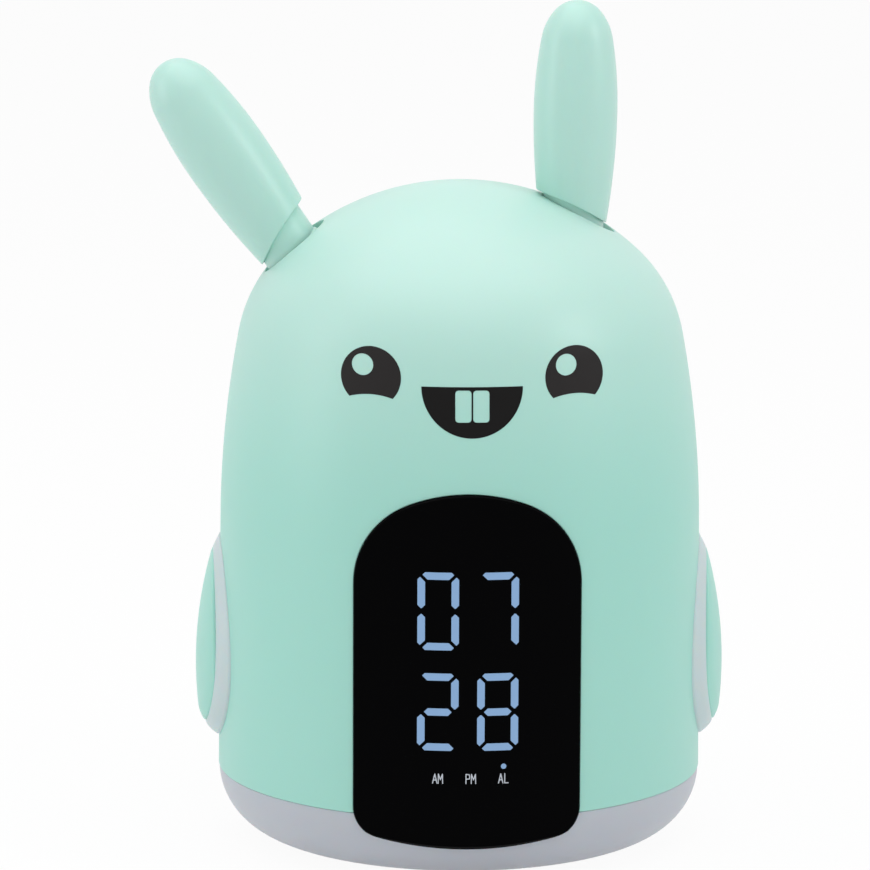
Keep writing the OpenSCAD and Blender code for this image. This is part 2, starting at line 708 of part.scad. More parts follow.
// ---- nodes -----------------------------------------------------------
module body_shell() {
    color(mint) difference() {
        union() {
            difference() {
                body_solid(0, split_z);
                body_solid(-shell_wall, split_z - 1);
            }
            intersection() {
                body_solid(-shell_wall / 2, under_z);
                shell_inner_features();
            }
        }
        // seat and opening of the display window
        difference() {
            prism_y(-far_y, 0) lens_outline(fit_gap);
            body_solid(-lens_seat, under_z);
        }
        block([-display_hole_w / 2, -far_y, display_z - display_hole_h / 2],
            [display_hole_w / 2, display_board_y - boss_r, display_z + display_hole_h / 2]);
        // pocket and opening of the back panel
        difference() {
            panel_prism(0, panel_corner_r);
            body_solid(-panel_t - 0.1, under_z);
        }
        panel_prism(ledge, panel_corner_r - 2);
        grille_holes();
        on_head(1, right_root, right_lean) neck_sweep(1);
        on_head(-1, left_root, left_lean) neck_sweep(-1);
        on_head(1, right_root, right_lean) pin_hole();
        on_head(-1, left_root, left_lean) pin_hole();
        for (s = [-1, 1]) side_holes(s);
        at_pillars() translate([0, 0, pillar_low_z - 1]) cylinder(r = screw_r, h = base_screw_l);
        display_screw_places() rod_y(screw_hole_r, display_board_y - board_screw_l, display_board_y + 1);
        main_screw_places() rod_y(screw_hole_r, main_out_y - 1, main_out_y + board_screw_l);
    }
}

module pin_hole() {
    rod_y(ear_pin_r, -lug_y - lug_t, lug_y + lug_t, hinge[0], hinge[1]);
}

// Pillars with ribs, bosses, the loudspeaker's tube and the ear lugs
module shell_inner_features() {
    at_pillars() translate([0, 0, pillar_low_z]) cylinder(r = pillar_r, h = pillar_top_z - pillar_low_z);
    for (a = [45:90:315]) rotate([0, 0, a])
        block([foot_circle_r, -rib_t / 2, ring_top_z + 0.1], [body_r, rib_t / 2, pillar_top_z]);
    display_screw_places() rod_y(boss_r, -far_y, display_board_y);
    main_screw_places() rod_y(boss_r, main_out_y, far_y);
    for (s = [-1, 1]) side_bosses(s);
    difference() {
        rod_y(speaker_r + speaker_gap + tube_wall, speaker_y - 0.5, far_y, 0, speaker_mid_z);
        rod_y(speaker_r + speaker_gap, speaker_y - 1, speaker_y + speaker_flange_t, 0, speaker_mid_z);
        rod_y(speaker_r - speaker_seat, speaker_y - 1, far_y + 1, 0, speaker_mid_z);
    }
    on_head(1, right_root, right_lean) ear_lugs(right_lean + 5);
    on_head(-1, left_root, left_lean) ear_lugs(left_lean);
}

module display_screw_places() {
    for (sx = [-1, 1], sz = [-1, 1])
        translate([sx * display_boss[0], 0, display_z + sz * display_boss[1]]) children();
}

module main_screw_places() {
    for (sx = [-1, 1], sz = [-1, 1])
        translate([sx * main_boss[0], 0, panel_mid_z + sz * main_boss[1]]) children();
}

module base_diffuser() {
    color(white) difference() {
        union() {
            difference() {
                base_solid(0);
                intersection() {
                    base_solid(-base_wall);
                    translate([0, 0, floor_z]) cylinder(r = body_r, h = base_h);
                }
                translate([0, 0, split_z - 0.5]) cylinder(r = base_r - base_wall, h = 2);
            }
            // tongue that enters the body
            difference() {
                translate([0, 0, split_z - tongue_root]) union() {
                    cylinder(r = tongue_r, h = tongue_top_z - split_z + tongue_root, $fn = 180);
                    cylinder(r = base_r - base_wall / 2, h = tongue_root - 0.2, $fn = 180);
                }
                translate([0, 0, split_z - tongue_root - 1])
                    cylinder(r = tongue_r - tongue_t, h = 2 * tongue_root + 2, $fn = 180);
            }
            block([door_low[0] - ledge_side - 1, door_low[1] - ledge_side, under_z + base_floor / 2],
                [door_high[0] + ledge_side, door_high[1] + ledge_side, ledge_z]);
            at_pillars() translate([0, 0, under_z + base_floor / 2])
                cylinder(r = post_r, h = pillar_low_z - 0.1 - under_z - base_floor / 2);
            translate([door_screw_x, 0, under_z + base_floor / 2])
                cylinder(r = door_screw_post[0], h = door_screw_post[1] - base_floor / 2);
        }
        block([door_low[0] - fit_gap, door_low[1] - fit_gap, under_z - 1],
            [door_high[0] + fit_gap, door_high[1] + fit_gap, under_z + door_t]);
        block([-bay[0], -bay[1], under_z - 1], [bay[0], bay[1], ledge_z + 1]);
        translate([door_screw_x, 0, under_z]) cylinder(r = screw_hole_r, h = door_screw_post[1] - 1.5);
        at_pillars() {
            translate([0, 0, under_z - 1]) cylinder(r = foot_r + 0.1, h = 1 + foot_recess);
            translate([0, 0, under_z])
                cylinder(r = screw_head[0] + slide_gap, h = foot_recess + screw_head[1] + slide_gap);
            translate([0, 0, under_z]) cylinder(r = screw_r + 0.1, h = base_h);
        }
        for (s = [-1, 1]) translate([door_low[0], s * door_tongue_y, under_z])
            block([-door_tongue[0] - 0.3, -door_tongue[1] - slide_gap, 0.6],
                [0, door_tongue[1] + slide_gap, door_t]);
    }
}

module rubber_feet() {
    color(dark_plastic) at_pillars() cylinder(r = foot_r, h = foot_h + foot_recess - 0.05);
}

module base_screws() {
    head_z = under_z + foot_recess + slide_gap;
    color(steel) at_pillars() difference() {
        union() {
            translate([0, 0, head_z]) cylinder(r = screw_head[0], h = screw_head[1]);
            translate([0, 0, head_z + 1]) cylinder(r = screw_r, h = base_screw_l - 1);
        }
        for (a = [0, 90]) rotate([0, 0, a])
            block([-screw_slot[0], -screw_slot[1] / 2, head_z - 1],
                [screw_slot[0], screw_slot[1] / 2, head_z + screw_slot[2]]);
    }
}

module battery_box() {
    color(white) difference() {
        block([-bay[0] - box_wall, -bay[1] - box_wall, ledge_z],
            [bay[0] + box_wall, bay[1] + box_wall, box_top_z]);
        block([-bay[0], -bay[1], ledge_z - 1], [bay[0], bay[1], box_top_z - box_roof]);
    }
}

module battery_contacts() {
    color(steel) for (i = [-1:1]) translate([0, i * cell_pitch, cell_z]) {
        block([-bay[0], -contact_half[0], -contact_half[1]],
            [-bay[0] + contact_t, contact_half[0], contact_half[1]]);
        rod_x(contact_spring_r, -bay[0] + contact_t - 0.1, -cell_l / 2);
        block([bay[0] - contact_t, -contact_half[0], -contact_half[1]],
            [bay[0], contact_half[0], contact_half[1]]);
        rod_x(contact_spring_r, cell_l / 2 + cell_cap[1], bay[0] - contact_t + 0.1);
    }
}

module backup_cells() {
    color(steel) for (i = [-1:1]) translate([0, i * cell_pitch, cell_z]) {
        rod_x(cell_d / 2, -cell_l / 2, cell_l / 2);
        rod_x(cell_cap[0], cell_l / 2 - 0.1, cell_l / 2 + cell_cap[1]);
    }
}

module battery_door() {
    color(white) difference() {
        union() {
            block([door_low[0], door_low[1], under_z],
                [door_high[0], door_high[1], under_z + door_t - run_gap]);
            // tongues that enter slots at the end of the recess
            for (s = [-1, 1]) translate([door_low[0], s * door_tongue_y, under_z])
                block([-door_tongue[0], -door_tongue[1], 0.7], [1, door_tongue[1], door_t - 0.1]);
        }
        translate([door_screw_x, 0, under_z - 1]) cylinder(r = board_hole_r, h = 1 + door_t + 1);
        translate([door_screw_x, 0, under_z - 1]) cylinder(r = door_screw_head[0] + slide_gap, h = 2);
        // finger grooves
        for (i = [0:3]) translate([door_low[0] + door_grip[0] + door_grip[1] * i, 0, under_z])
            block([0, -door_grip[2], -1], [door_grip[1] / 2, door_grip[2], 0.5]);
    }
}

module battery_door_screw() {
    color(steel) translate([door_screw_x, 0, 0]) difference() {
        union() {
            translate([0, 0, under_z + run_gap]) cylinder(r = door_screw_head[0], h = door_screw_head[1]);
            translate([0, 0, under_z + 0.5]) cylinder(r = screw_hole_r, h = door_screw_post[1] - 2.5);
        }
        for (a = [0, 90]) rotate([0, 0, a])
            block([1 - door_screw_head[0], -0.3, under_z - 1],
                [door_screw_head[0] - 1, 0.3, under_z + 0.6]);
    }
}

module light_ring_board() {
    color(board_green) difference() {
        translate([0, 0, tongue_top_z]) cylinder(r = ring_r, h = board_t, $fn = 180);
        translate([0, 0, tongue_top_z - 1]) cylinder(r = ring_r - ring_w, h = board_t + 2, $fn = 180);
    }
}

module light_ring_leds() {
    color(white) for (a = [0:30:330]) rotate([0, 0, a])
        translate([ring_r - ring_w + 3, -led_w / 2, tongue_top_z - led_h]) cube([led_w, led_w, led_h]);
}

module display_lens() {
    color(black) difference() {
        intersection() {
            prism_y(-far_y, -lens_w / 2) lens_outline(0);
            body_solid(lens_proud, under_z);
        }
        body_solid(-lens_seat + 0.05, split_z);
        base_solid(fit_gap);
        lens_sill_bevel();
    }
}

// The bevel along the window's lower edge
module lens_sill_bevel() {
    deep = 8;
    top = lens_bevel + 0.6;
    translate([0, 0, under_z + lens_bottom - deep]) difference() {
        cylinder(r = far_y, h = deep + top, $fn = 180);
        translate([0, 0, -1])
            cylinder(r1 = body_r - deep - 1.2, r2 = body_r + lens_bevel + 0.2,
                h = deep + 1 + top, $fn = 180);
    }
}

// Which bars of a seven-bar figure are lit, from the top, clockwise, middle last
figures = [
    [1, 1, 1, 1, 1, 1, 0],
    [1, 1, 1, 0, 0, 0, 0],
    [1, 1, 0, 1, 1, 0, 1],
    [1, 1, 1, 1, 1, 1, 1]
];

bar_gap = 0.5;       // gap between the tips of two bars
module bar(len) {
    h = bar_w / 2;
    polygon([
        [-len / 2, 0], [-len / 2 + h, h], [len / 2 - h, h],
        [len / 2, 0], [len / 2 - h, -h], [-len / 2 + h, -h]
    ]);
}

module figure(lit) {
    w = digit_w / 2 - bar_w / 2;
    h = digit_h / 2 - bar_w / 2;
    flat = 2 * w - bar_gap;
    tall = h - bar_gap;
    if (lit[0] == 1) translate([0, h]) bar(flat);
    if (lit[1] == 1) translate([w, h / 2]) rotate(90) bar(tall);
    if (lit[2] == 1) translate([w, -h / 2]) rotate(90) bar(tall);
    if (lit[3] == 1) translate([0, -h]) bar(flat);
    if (lit[4] == 1) translate([-w, -h / 2]) rotate(90) bar(tall);
    if (lit[5] == 1) translate([-w, h / 2]) rotate(90) bar(tall);
    if (lit[6] == 1) bar(flat);
}

// A thin layer on the window's face in the shape of the children
module on_lens() {
    intersection() {
        prism_y(-far_y, -lens_w / 2) children();
        difference() {
            body_solid(lens_proud + ink_t, under_z);
            body_solid(lens_proud, under_z - 1);
        }
    }
}

module display_figures() {
    color(lit_blue) on_lens() {
        translate([figure_x - digit_pitch / 2, under_z + hours_z]) figure(figures[0]);
        translate([figure_x + digit_pitch / 2, under_z + hours_z]) figure(figures[1]);
        translate([figure_x - digit_pitch / 2, under_z + minutes_z]) figure(figures[2]);
        translate([figure_x + digit_pitch / 2, under_z + minutes_z]) figure(figures[3]);
    }
}

// A stroke of a letter between two points of a one by one cell
letter_w = legend_h * 0.44;
stroke_w = 0.22;
module stroke(p, q) {
    a = [p[0] * letter_w, p[1] * legend_h];
    b = [q[0] * letter_w, q[1] * legend_h];
    translate((a + b) / 2) rotate(atan2(b[1] - a[1], b[0] - a[0]))
        square([norm(b - a) + stroke_w, stroke_w], center = true);
}

module strokes(points) {
    for (i = [0:len(points) - 2]) stroke(points[i], points[i + 1]);
}

module letter_a() {
    strokes([[-0.5, -0.5], [0, 0.5], [0.5, -0.5]]);
    stroke([-0.3, -0.15], [0.3, -0.15]);
}

module letter_m() {
    strokes([[-0.5, -0.5], [-0.45, 0.5], [0, -0.1], [0.45, 0.5], [0.5, -0.5]]);
}

module letter_p() {
    strokes([[-0.4, -0.5], [-0.4, 0.5], [0.3, 0.4], [0.3, 0.1], [-0.4, 0]]);
}

module letter_l() {
    strokes([[-0.3, 0.5], [-0.3, -0.5], [0.4, -0.5]]);
}

module display_legends() {
    gap = legend_h * 0.6;
    color(white) on_lens() {
        translate([legend_x - legend_pitch, under_z + legend_z]) {
            translate([-gap / 2, 0]) letter_a();
            translate([gap / 2, 0]) letter_m();
        }
        translate([legend_x, under_z + legend_z]) {
            translate([-gap / 2, 0]) letter_p();
            translate([gap / 2, 0]) letter_m();
        }
        translate([legend_x + legend_pitch, under_z + legend_z]) {
            translate([-gap / 2, 0]) letter_a();
            translate([gap / 2, 0]) letter_l();
        }
        translate([legend_x + legend_pitch, under_z + legend_z + legend_h / 2 + 2 * dot_r])
            circle(r = dot_r, $fn = 24);
    }
}

module display_block() {
    half = [display_hole_w / 2 - 0.5, display_hole_h / 2 - 0.5];
    color(dark_plastic) difference() {
        block([-half[0], display_front_y, display_z - half[1]],
            [half[0], display_board_y, display_z + half[1]]);
        for (sx = [-1, 1], z = [hours_z, minutes_z])
            translate([figure_x + sx * digit_pitch / 2, 0, under_z + z])
                block([-digit_w / 2, -far_y, -digit_h / 2],
                    [digit_w / 2, display_front_y + 1, digit_h / 2]);
    }
}

module display_board() {
    color(board_green) difference() {
        block([-display_board_half[0], display_board_y, display_z - display_board_half[1]],
            [display_board_half[0], display_board_y + board_t, display_z + display_board_half[1]]);
        display_screw_places() rod_y(board_hole_r, display_board_y - 1, display_board_y + board_t + 1);
    }
}

module main_board() {
    color(board_green) difference() {
        block([-main_board_half[0], main_board_y, panel_mid_z - main_board_half[1]],
            [main_board_half[0], main_out_y, panel_mid_z + main_board_half[1]]);
        main_screw_places() rod_y(board_hole_r, main_board_y - 1, main_out_y + 1);
    }
}

// Two chips, two round capacitors and a plug, on the board's inner face
module main_board_parts() {
    color(dark_plastic) translate([0, main_board_y, panel_mid_z]) {
        block([-5, -1.6, -3], [5, 0, 7]);
        block([12, -1.2, -10], [17, 0, -5]);
        rod_y(3.2, -8, 0, -20, 8);
        rod_y(2.6, -6, 0, -20, -4);
        block([-8, -6, -25], [8, 0, -20]);
    }
}

module key_switch(x, z) {
    translate([x, main_out_y, panel_mid_z + z]) {
        block([-switch_half, 0, -switch_half], [switch_half, switch_h, switch_half]);
        rod_y(plunger_r, switch_h - 0.1, switch_h + plunger_h);
    }
}

module rear_key_switches() {
    color(steel) for (p = key_places) key_switch(p[0], p[1]);
}

module usb_board() {
    color(board_green) block([-usb_board_half, main_out_y, usb_z - usb_half[1] - board_t],
        [usb_board_half, usb_mouth_y - 3, usb_z - usb_half[1]]);
}

module usb_socket() {
    inner = usb_half - [usb_wall, usb_wall];
    color(steel) difference() {
        prism_y(usb_mouth_y - usb_l, usb_mouth_y) translate([0, usb_z])
            rounded_outline(2 * usb_half[0], 2 * usb_half[1], usb_half[1] - 0.05);
        prism_y(usb_mouth_y - usb_l + 1, far_y) translate([0, usb_z])
            rounded_outline(2 * inner[0], 2 * inner[1], inner[1] - 0.05);
    }
}

// A screw along Y whose head lies at the origin and whose tip points to +Y
module board_screw() {
    rod_y(board_screw_head[0], -board_screw_head[1], 0);
    rod_y(screw_hole_r, -0.5, board_t + board_screw_l - 1);
}

module board_screws() {
    color(steel) {
        display_screw_places() translate([0, display_board_y + board_t, 0]) mirror([0, 1, 0]) board_screw();
        main_screw_places() translate([0, main_board_y, 0]) board_screw();
        for (s = [-1, 1], t = [-1, 1]) at_side(s) translate([side_board_x, 0, t * side_boss_z]) {
            rod_x(board_screw_head[0], -board_screw_head[1], 0);
            rod_x(screw_hole_r, -0.5, board_t + board_screw_l - 1);
        }
    }
}

module rear_panel() {
    mouth = usb_half + [slide_gap, slide_gap];
    color(white) difference() {
        intersection() {
            panel_prism(fit_gap, panel_corner_r - fit_gap);
            body_solid(0, under_z);
        }
        body_solid(-panel_t, under_z - 1);
        for (p = key_places) rod_y(key_r + slide_gap, main_out_y, far_y, p[0], panel_mid_z + p[1]);
        prism_y(main_out_y, far_y) translate([0, usb_z])
            rounded_outline(2 * mouth[0], 2 * mouth[1], mouth[1] - 0.05);
    }
}

// A key: cap, flange behind the panel and stem down to its switch
module key(i) {
    p = key_places[i];
    z = panel_mid_z + p[1];
    top_y = wall_y(abs(p[0]), z) + key_proud;
    flange_y = wall_y(abs(p[0]) + key_r + key_flange_w, z + key_r, -panel_t) - key_flange_t - 0.1;
    color(mint) translate([p[0], 0, z]) {
        rod_y(key_r, flange_y + key_flange_t - 0.1, top_y - key_edge);
        translate([0, top_y - key_edge, 0]) rotate([-90, 0, 0])
            cylinder(r1 = key_r, r2 = key_r - key_edge, h = key_edge, $fn = 48);
        rod_y(key_r + key_flange_w, flange_y, flange_y + key_flange_t);
        rod_y(key_stem_r, key_back_y, flange_y + 0.1);
    }
}

module light_key() { key(0); }
module alarm_key() { key(1); }
module mode_key() { key(2); }
module up_key() { key(3); }
module down_key() { key(4); }

// The basket's rim seats the cone's edge at this level
cone_y = speaker_y + speaker_flange_t - 0.6;
module speaker_basket() {
    color(dark_plastic) translate([0, 0, speaker_mid_z]) difference() {
        union() {
            rod_y(speaker_r, speaker_y, speaker_y + speaker_flange_t);
            translate([0, speaker_y + 0.1, 0]) rotate([90, 0, 0])
                cylinder(r1 = speaker_r - 1.2, r2 = basket_back_r, h = basket_depth, $fn = 48);
        }
        rod_y(speaker_r - 2, cone_y, speaker_y + 2 * speaker_flange_t);
        translate([0, cone_y + 0.01, 0]) rotate([90, 0, 0])
            cylinder(r1 = speaker_r - 3, r2 = basket_back_r - 1.6, h = basket_depth - 0.7, $fn = 48);
    }
}

module speaker_cone() {
    color(black) translate([0, 0, speaker_mid_z]) difference() {
        union() {
            rod_y(speaker_r - 2.2, cone_y, cone_y + 0.5);
            translate([0, cone_y + 0.1, 0]) paper_funnel();
        }
        translate([0, cone_y + 0.7, 0]) paper_funnel();
    }
}

module paper_funnel() {
    rotate([90, 0, 0]) cylinder(r1 = speaker_r - 3.6, r2 = basket_back_r / 2, h = 5, $fn = 48);
}

module speaker_magnet() {
    front_y = speaker_y + 0.1 - basket_depth;
    color(steel) rod_y(magnet_r, front_y - magnet_t, front_y, 0, speaker_mid_z);
}

// A thin layer on the body's face in the shape of the children
module on_face() {
    intersection() {
        prism_y(-far_y, -body_r / 3) translate([face_x, 0]) children();
        difference() {
            body_solid(ink_t, split_z);
            body_solid(0, split_z - 1);
        }
    }
}

glint_place = [-2, 2.75];  // the highlight's middle, from the eye's
cheek_rise = 3;      // how far the cheek's edge rises into the eye
mouth_x = -0.3;      // sideways place of the mouth's middle, from the face's

module eye_outline() {
    difference() {
        circle(r = eye_r);
        translate(glint_place) circle(r = glint_r);
        translate([0, cheek_rise - eye_r - cheek_r]) circle(r = cheek_r);
    }
}

module eye_print() {
    color(ink) on_face() for (s = [-1, 1]) translate([s * eye_x, under_z + eye_z]) eye_outline();
}

// One of a pair of front teeth, hung below the mouth's upper edge
module tooth(s) {
    r = 0.8;
    gap = 0.4;
    x0 = (s * (tooth_w + gap) - tooth_w) / 2;
    low = -r - tooth_h;
    translate([x0, low + r]) square([tooth_w, tooth_h - r]);
    translate([x0 + r, low]) square([tooth_w - 2 * r, tooth_h]);
    for (x = [x0 + r, x0 + tooth_w - r]) translate([x, low + r]) circle(r = r, $fn = 32);
}

module mouth_print() {
    color(ink) on_face() translate([mouth_x, under_z + mouth_z]) difference() {
        circle(r = mouth_r);
        translate([-2 * mouth_r, 0]) square([4 * mouth_r, 2 * mouth_r]);
        for (s = [-1, 1]) tooth(s);
    }
}

module right_ear() { color(mint) on_head(1, right_root, right_lean) ear_shell(); }
module right_ear_neck() { color(mint) on_head(1, right_root, right_lean) ear_neck(); }
module right_ear_pin() { color(steel) on_head(1, right_root, right_lean) ear_pin(); }
module right_ear_washers() { color(steel) on_head(1, right_root, right_lean) ear_washers(); }
module left_ear() { color(mint) on_head(-1, left_root, left_lean) ear_shell(); }
module left_ear_neck() { color(mint) on_head(-1, left_root, left_lean) ear_neck(); }
module left_ear_pin() { color(steel) on_head(-1, left_root, left_lean) ear_pin(); }
module left_ear_washers() { color(steel) on_head(-1, left_root, left_lean) ear_washers(); }

module right_light_plate() { color(white) light_plate(1); }
module right_button() { color(mint) { side_button(1); side_stem(1); } }
module right_button_clip() { color(steel) button_clip(1); }
module right_switch_board() { color(board_green) switch_board(1); }
module right_switch() { color(dark_plastic) side_switch(1); }
module right_plate_leds() { color(white) plate_leds(1); }
module left_light_plate() { color(white) light_plate(-1); }
module left_button() { color(mint) { side_button(-1); side_stem(-1); } }
module left_button_clip() { color(steel) button_clip(-1); }
module left_switch_board() { color(board_green) switch_board(-1); }
module left_switch() { color(dark_plastic) side_switch(-1); }
module left_plate_leds() { color(white) plate_leds(-1); }

body_shell();
base_diffuser();
rubber_feet();
base_screws();
battery_box();
battery_contacts();
backup_cells();
battery_door();
battery_door_screw();
light_ring_board();
light_ring_leds();
display_lens();
display_figures();
display_legends();
display_block();
display_board();
main_board();
main_board_parts();
rear_key_switches();
usb_board();
usb_socket();
board_screws();
rear_panel();
light_key();
alarm_key();
mode_key();
up_key();
down_key();
speaker_basket();
speaker_cone();
speaker_magnet();
eye_print();
mouth_print();
right_ear();
right_ear_neck();
right_ear_pin();
right_ear_washers();
left_ear();
left_ear_neck();
left_ear_pin();
left_ear_washers();
right_light_plate();
right_button();
right_button_clip();
right_switch_board();
right_switch();
right_plate_leds();
left_light_plate();
left_button();
left_button_clip();
left_switch_board();
left_switch();
left_plate_leds();
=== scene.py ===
"""The looks of a bedside clock for a child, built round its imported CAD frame.

Lengths in this script are millimetres until a mesh is made. The origin is on the
body's axis, on the table; the face looks along -Y and +X is the viewer's right.
"""

import json
import math

import bpy
import numpy as np
from mathutils import Matrix


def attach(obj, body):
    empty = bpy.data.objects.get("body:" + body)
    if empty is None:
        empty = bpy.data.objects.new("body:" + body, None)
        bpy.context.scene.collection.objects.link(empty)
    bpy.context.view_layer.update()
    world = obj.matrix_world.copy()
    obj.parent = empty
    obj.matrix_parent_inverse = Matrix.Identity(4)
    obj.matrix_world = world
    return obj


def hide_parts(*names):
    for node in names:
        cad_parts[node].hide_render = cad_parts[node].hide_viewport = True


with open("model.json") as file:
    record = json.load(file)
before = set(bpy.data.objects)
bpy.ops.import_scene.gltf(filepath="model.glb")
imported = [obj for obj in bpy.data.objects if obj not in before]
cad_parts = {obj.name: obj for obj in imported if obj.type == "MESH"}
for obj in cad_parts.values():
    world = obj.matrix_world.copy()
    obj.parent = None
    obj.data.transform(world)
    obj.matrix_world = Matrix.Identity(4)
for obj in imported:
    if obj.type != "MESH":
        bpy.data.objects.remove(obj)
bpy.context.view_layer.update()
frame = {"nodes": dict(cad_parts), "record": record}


# ---- Camera, floor and lamps ------------------------------------------------
# The clock stands on a plain white floor under large soft lamps. The camera is
# a little above it and looks down on it with a long lens.
CAMERA_DISTANCE = 1300.0
CAMERA_TILT = math.radians(10.4)
CAMERA_ROLL = math.radians(0.25)
CLOCK_YAW = math.radians(1.83)
AIM_X = -6.31
AIM_Z = 101.6
PIXELS_PER_MM = 239 / 60
FRAME_PIXELS = 870


def turned_z(vector, angle):
    """The vector turned by the angle about +Z."""
    c, s = math.cos(angle), math.sin(angle)
    x, y, z = vector
    return np.array([x * c - y * s, x * s + y * c, z])


right = np.array([1.0, 0.0, 0.0])
forward = np.array([0.0, math.cos(CAMERA_TILT), -math.sin(CAMERA_TILT)])
upward = np.array([0.0, math.sin(CAMERA_TILT), math.cos(CAMERA_TILT)])
place = np.array([AIM_X, 0.0, AIM_Z]) - CAMERA_DISTANCE * forward
rolled_right = math.cos(CAMERA_ROLL) * right + math.sin(CAMERA_ROLL) * upward
rolled_up = math.cos(CAMERA_ROLL) * upward - math.sin(CAMERA_ROLL) * right
axes = [turned_z(v, -CLOCK_YAW) for v in (rolled_right, rolled_up, -forward, place * 0.001)]
camera = bpy.data.objects.new("camera", bpy.data.cameras.new("camera"))
camera.data.sensor_width = 36.0
camera.data.lens = PIXELS_PER_MM * CAMERA_DISTANCE / FRAME_PIXELS * camera.data.sensor_width
camera.matrix_world = Matrix([*np.array(axes).T, (0, 0, 0, 1)])
bpy.context.scene.collection.objects.link(camera)
bpy.context.scene.camera = camera


class Value:
    """A socket of a shader: Python's operators on it add Math nodes."""

    def __init__(self, nodes, socket):
        self.nodes = nodes
        self.socket = socket

    def _math(self, operation, *terms):
        return self.nodes.node("ShaderNodeMath", {"operation": operation}, dict(enumerate(terms)))

    def __add__(self, other):
        return self._math("ADD", self, other)

    def __mul__(self, other):
        return self._math("MULTIPLY", self, other)

    def at_least(self, other):
        return self._math("MAXIMUM", self, other)

    __radd__ = __add__
    __rmul__ = __mul__


class Nodes:
    """The nodes of the room's air or of a material."""

    def __init__(self, tree):
        self.tree = tree

    def node(self, kind, settings=None, inputs=None, output=0):
        """Adds a node with its settings, and the values or links of its sockets."""
        made = self.tree.nodes.new(kind)
        for name, value in (settings or {}).items():
            setattr(made, name, value)
        for key, value in (inputs or {}).items():
            self.feed(made.inputs[key], value)
        return Value(self, made.outputs[output])

    def feed(self, socket, value):
        """Gives a socket a constant, or the output of a node."""
        if isinstance(value, Value):
            self.tree.links.new(value.socket, socket)
        else:
            socket.default_value = value

    def seen(self):
        """1 for the rays that show the background: to the camera, off gloss and through glass."""
        camera, gloss, glass = (self.node("ShaderNodeLightPath", output=f"Is {kind} Ray")
                                for kind in ("Camera", "Glossy", "Transmission"))
        return camera.at_least(gloss).at_least(glass)


ROUGHNESS_SPAN = 0.08


class Shader(Nodes):
    """A material with one Principled surface, whose constant sockets are given by name."""

    def __init__(self, name, colour, roughness, **sockets):
        self.material = bpy.data.materials.new(name)
        self.material.use_nodes = True
        super().__init__(self.material.node_tree)
        self.surface = self.tree.nodes["Principled BSDF"]
        self.colour = (*colour, 1.0)
        self.set("Base Color", self.colour)
        self.set("Roughness", roughness)
        for socket, value in sockets.items():
            self.set(socket.replace("_", " "), value)

    def set(self, socket, value):
        self.feed(self.surface.inputs[socket], value)

    def noise(self, size, detail=2.0):
        """Cloudy noise from 0 to 1 on Object coordinates, with patches of that size in mm."""
        place = self.node("ShaderNodeTexCoord", output="Object")
        inputs = {"Vector": place, "Scale": 1000 / size, "Detail": detail}
        return self.node("ShaderNodeTexNoise", None, inputs, "Fac")

    def tint(self, mask, colour, share=1.0):
        """Mixes a colour over the base colour where the mask is 1."""
        inputs = {0: mask * share, 6: self.colour, 7: (*colour, 1.0)}
        self.set("Base Color", self.node("ShaderNodeMix", {"data_type": "RGBA"}, inputs, 2))

    def cloud(self, size, factor, share):
        """Mixes in its own colour times a factor, in patches of that size in mm."""
        self.tint(self.noise(size), tuple(c * factor for c in self.colour[:3]), share)

    def polish(self, low, size):
        """Lets the roughness go from low to a little above it, in patches of that size in mm."""
        self.set("Roughness", low + ROUGHNESS_SPAN * self.noise(size))

    def grain(self, size, depth, strength=0.5):
        """Raises the surface by fine noise of that size, times the depth; both in mm."""
        inputs = {"Height": self.noise(size, 3.0), "Distance": depth * 0.001, "Strength": strength}
        self.set("Normal", self.node("ShaderNodeBump", None, inputs, "Normal"))


SKY_LIGHT = 0.54
world = bpy.data.worlds.new("studio")
world.use_nodes = True
bpy.context.scene.world = world
air = Nodes(world.node_tree)
sky = world.node_tree.nodes["Background"]
air.feed(sky.inputs["Color"], (1.0, 1.0, 1.0, 1.0))
air.feed(sky.inputs["Strength"], SKY_LIGHT + (1.0 - SKY_LIGHT) * air.seen())

FLOOR_HALF = 4.0
FLOOR_GLOW = 0.94
floor_corners = [(x * FLOOR_HALF, y * FLOOR_HALF, 0) for x, y in ((-1, -1), (1, -1), (1, 1), (-1, 1))]
floor_mesh = bpy.data.meshes.new("floor")
floor_mesh.from_pydata(floor_corners, [], [(0, 1, 2, 3)])
floor = bpy.data.objects.new("floor", floor_mesh)
bpy.context.scene.collection.objects.link(floor)
paper = Shader("white paper floor", (0.94, 0.94, 0.945), 0.9, Specular_IOR_Level=0.0)
paper_glow = paper.node("ShaderNodeEmission", None, {"Strength": 1.0})
paper_shown = paper.node("ShaderNodeMixShader", None, {
    0: FLOOR_GLOW * paper.seen(), 1: Value(paper, paper.surface.outputs[0]), 2: paper_glow,
})
paper.feed(paper.tree.nodes["Material Output"].inputs["Surface"], paper_shown)
floor_mesh.materials.append(paper.material)


def soft_lamp(name, place, aim, size, power):
    """An area lamp at a place, aimed at a point; places and its two sides are in mm."""
    lamp = bpy.data.lights.new(name, "AREA")
    lamp.shape = "RECTANGLE"
    lamp.size, lamp.size_y = (side * 0.001 for side in size)
    lamp.energy = power
    holder = bpy.data.objects.new(name, lamp)
    bpy.context.scene.collection.objects.link(holder)
    back = np.array(place, float) - np.array(aim, float)
    back /= np.linalg.norm(back)
    side = np.cross([0, 0, 1], back)
    side /= np.linalg.norm(side)
    columns = [side, np.cross(back, side), back, np.array(place) * 0.001]
    holder.matrix_world = Matrix([*np.array(columns).T, (0, 0, 0, 1)])


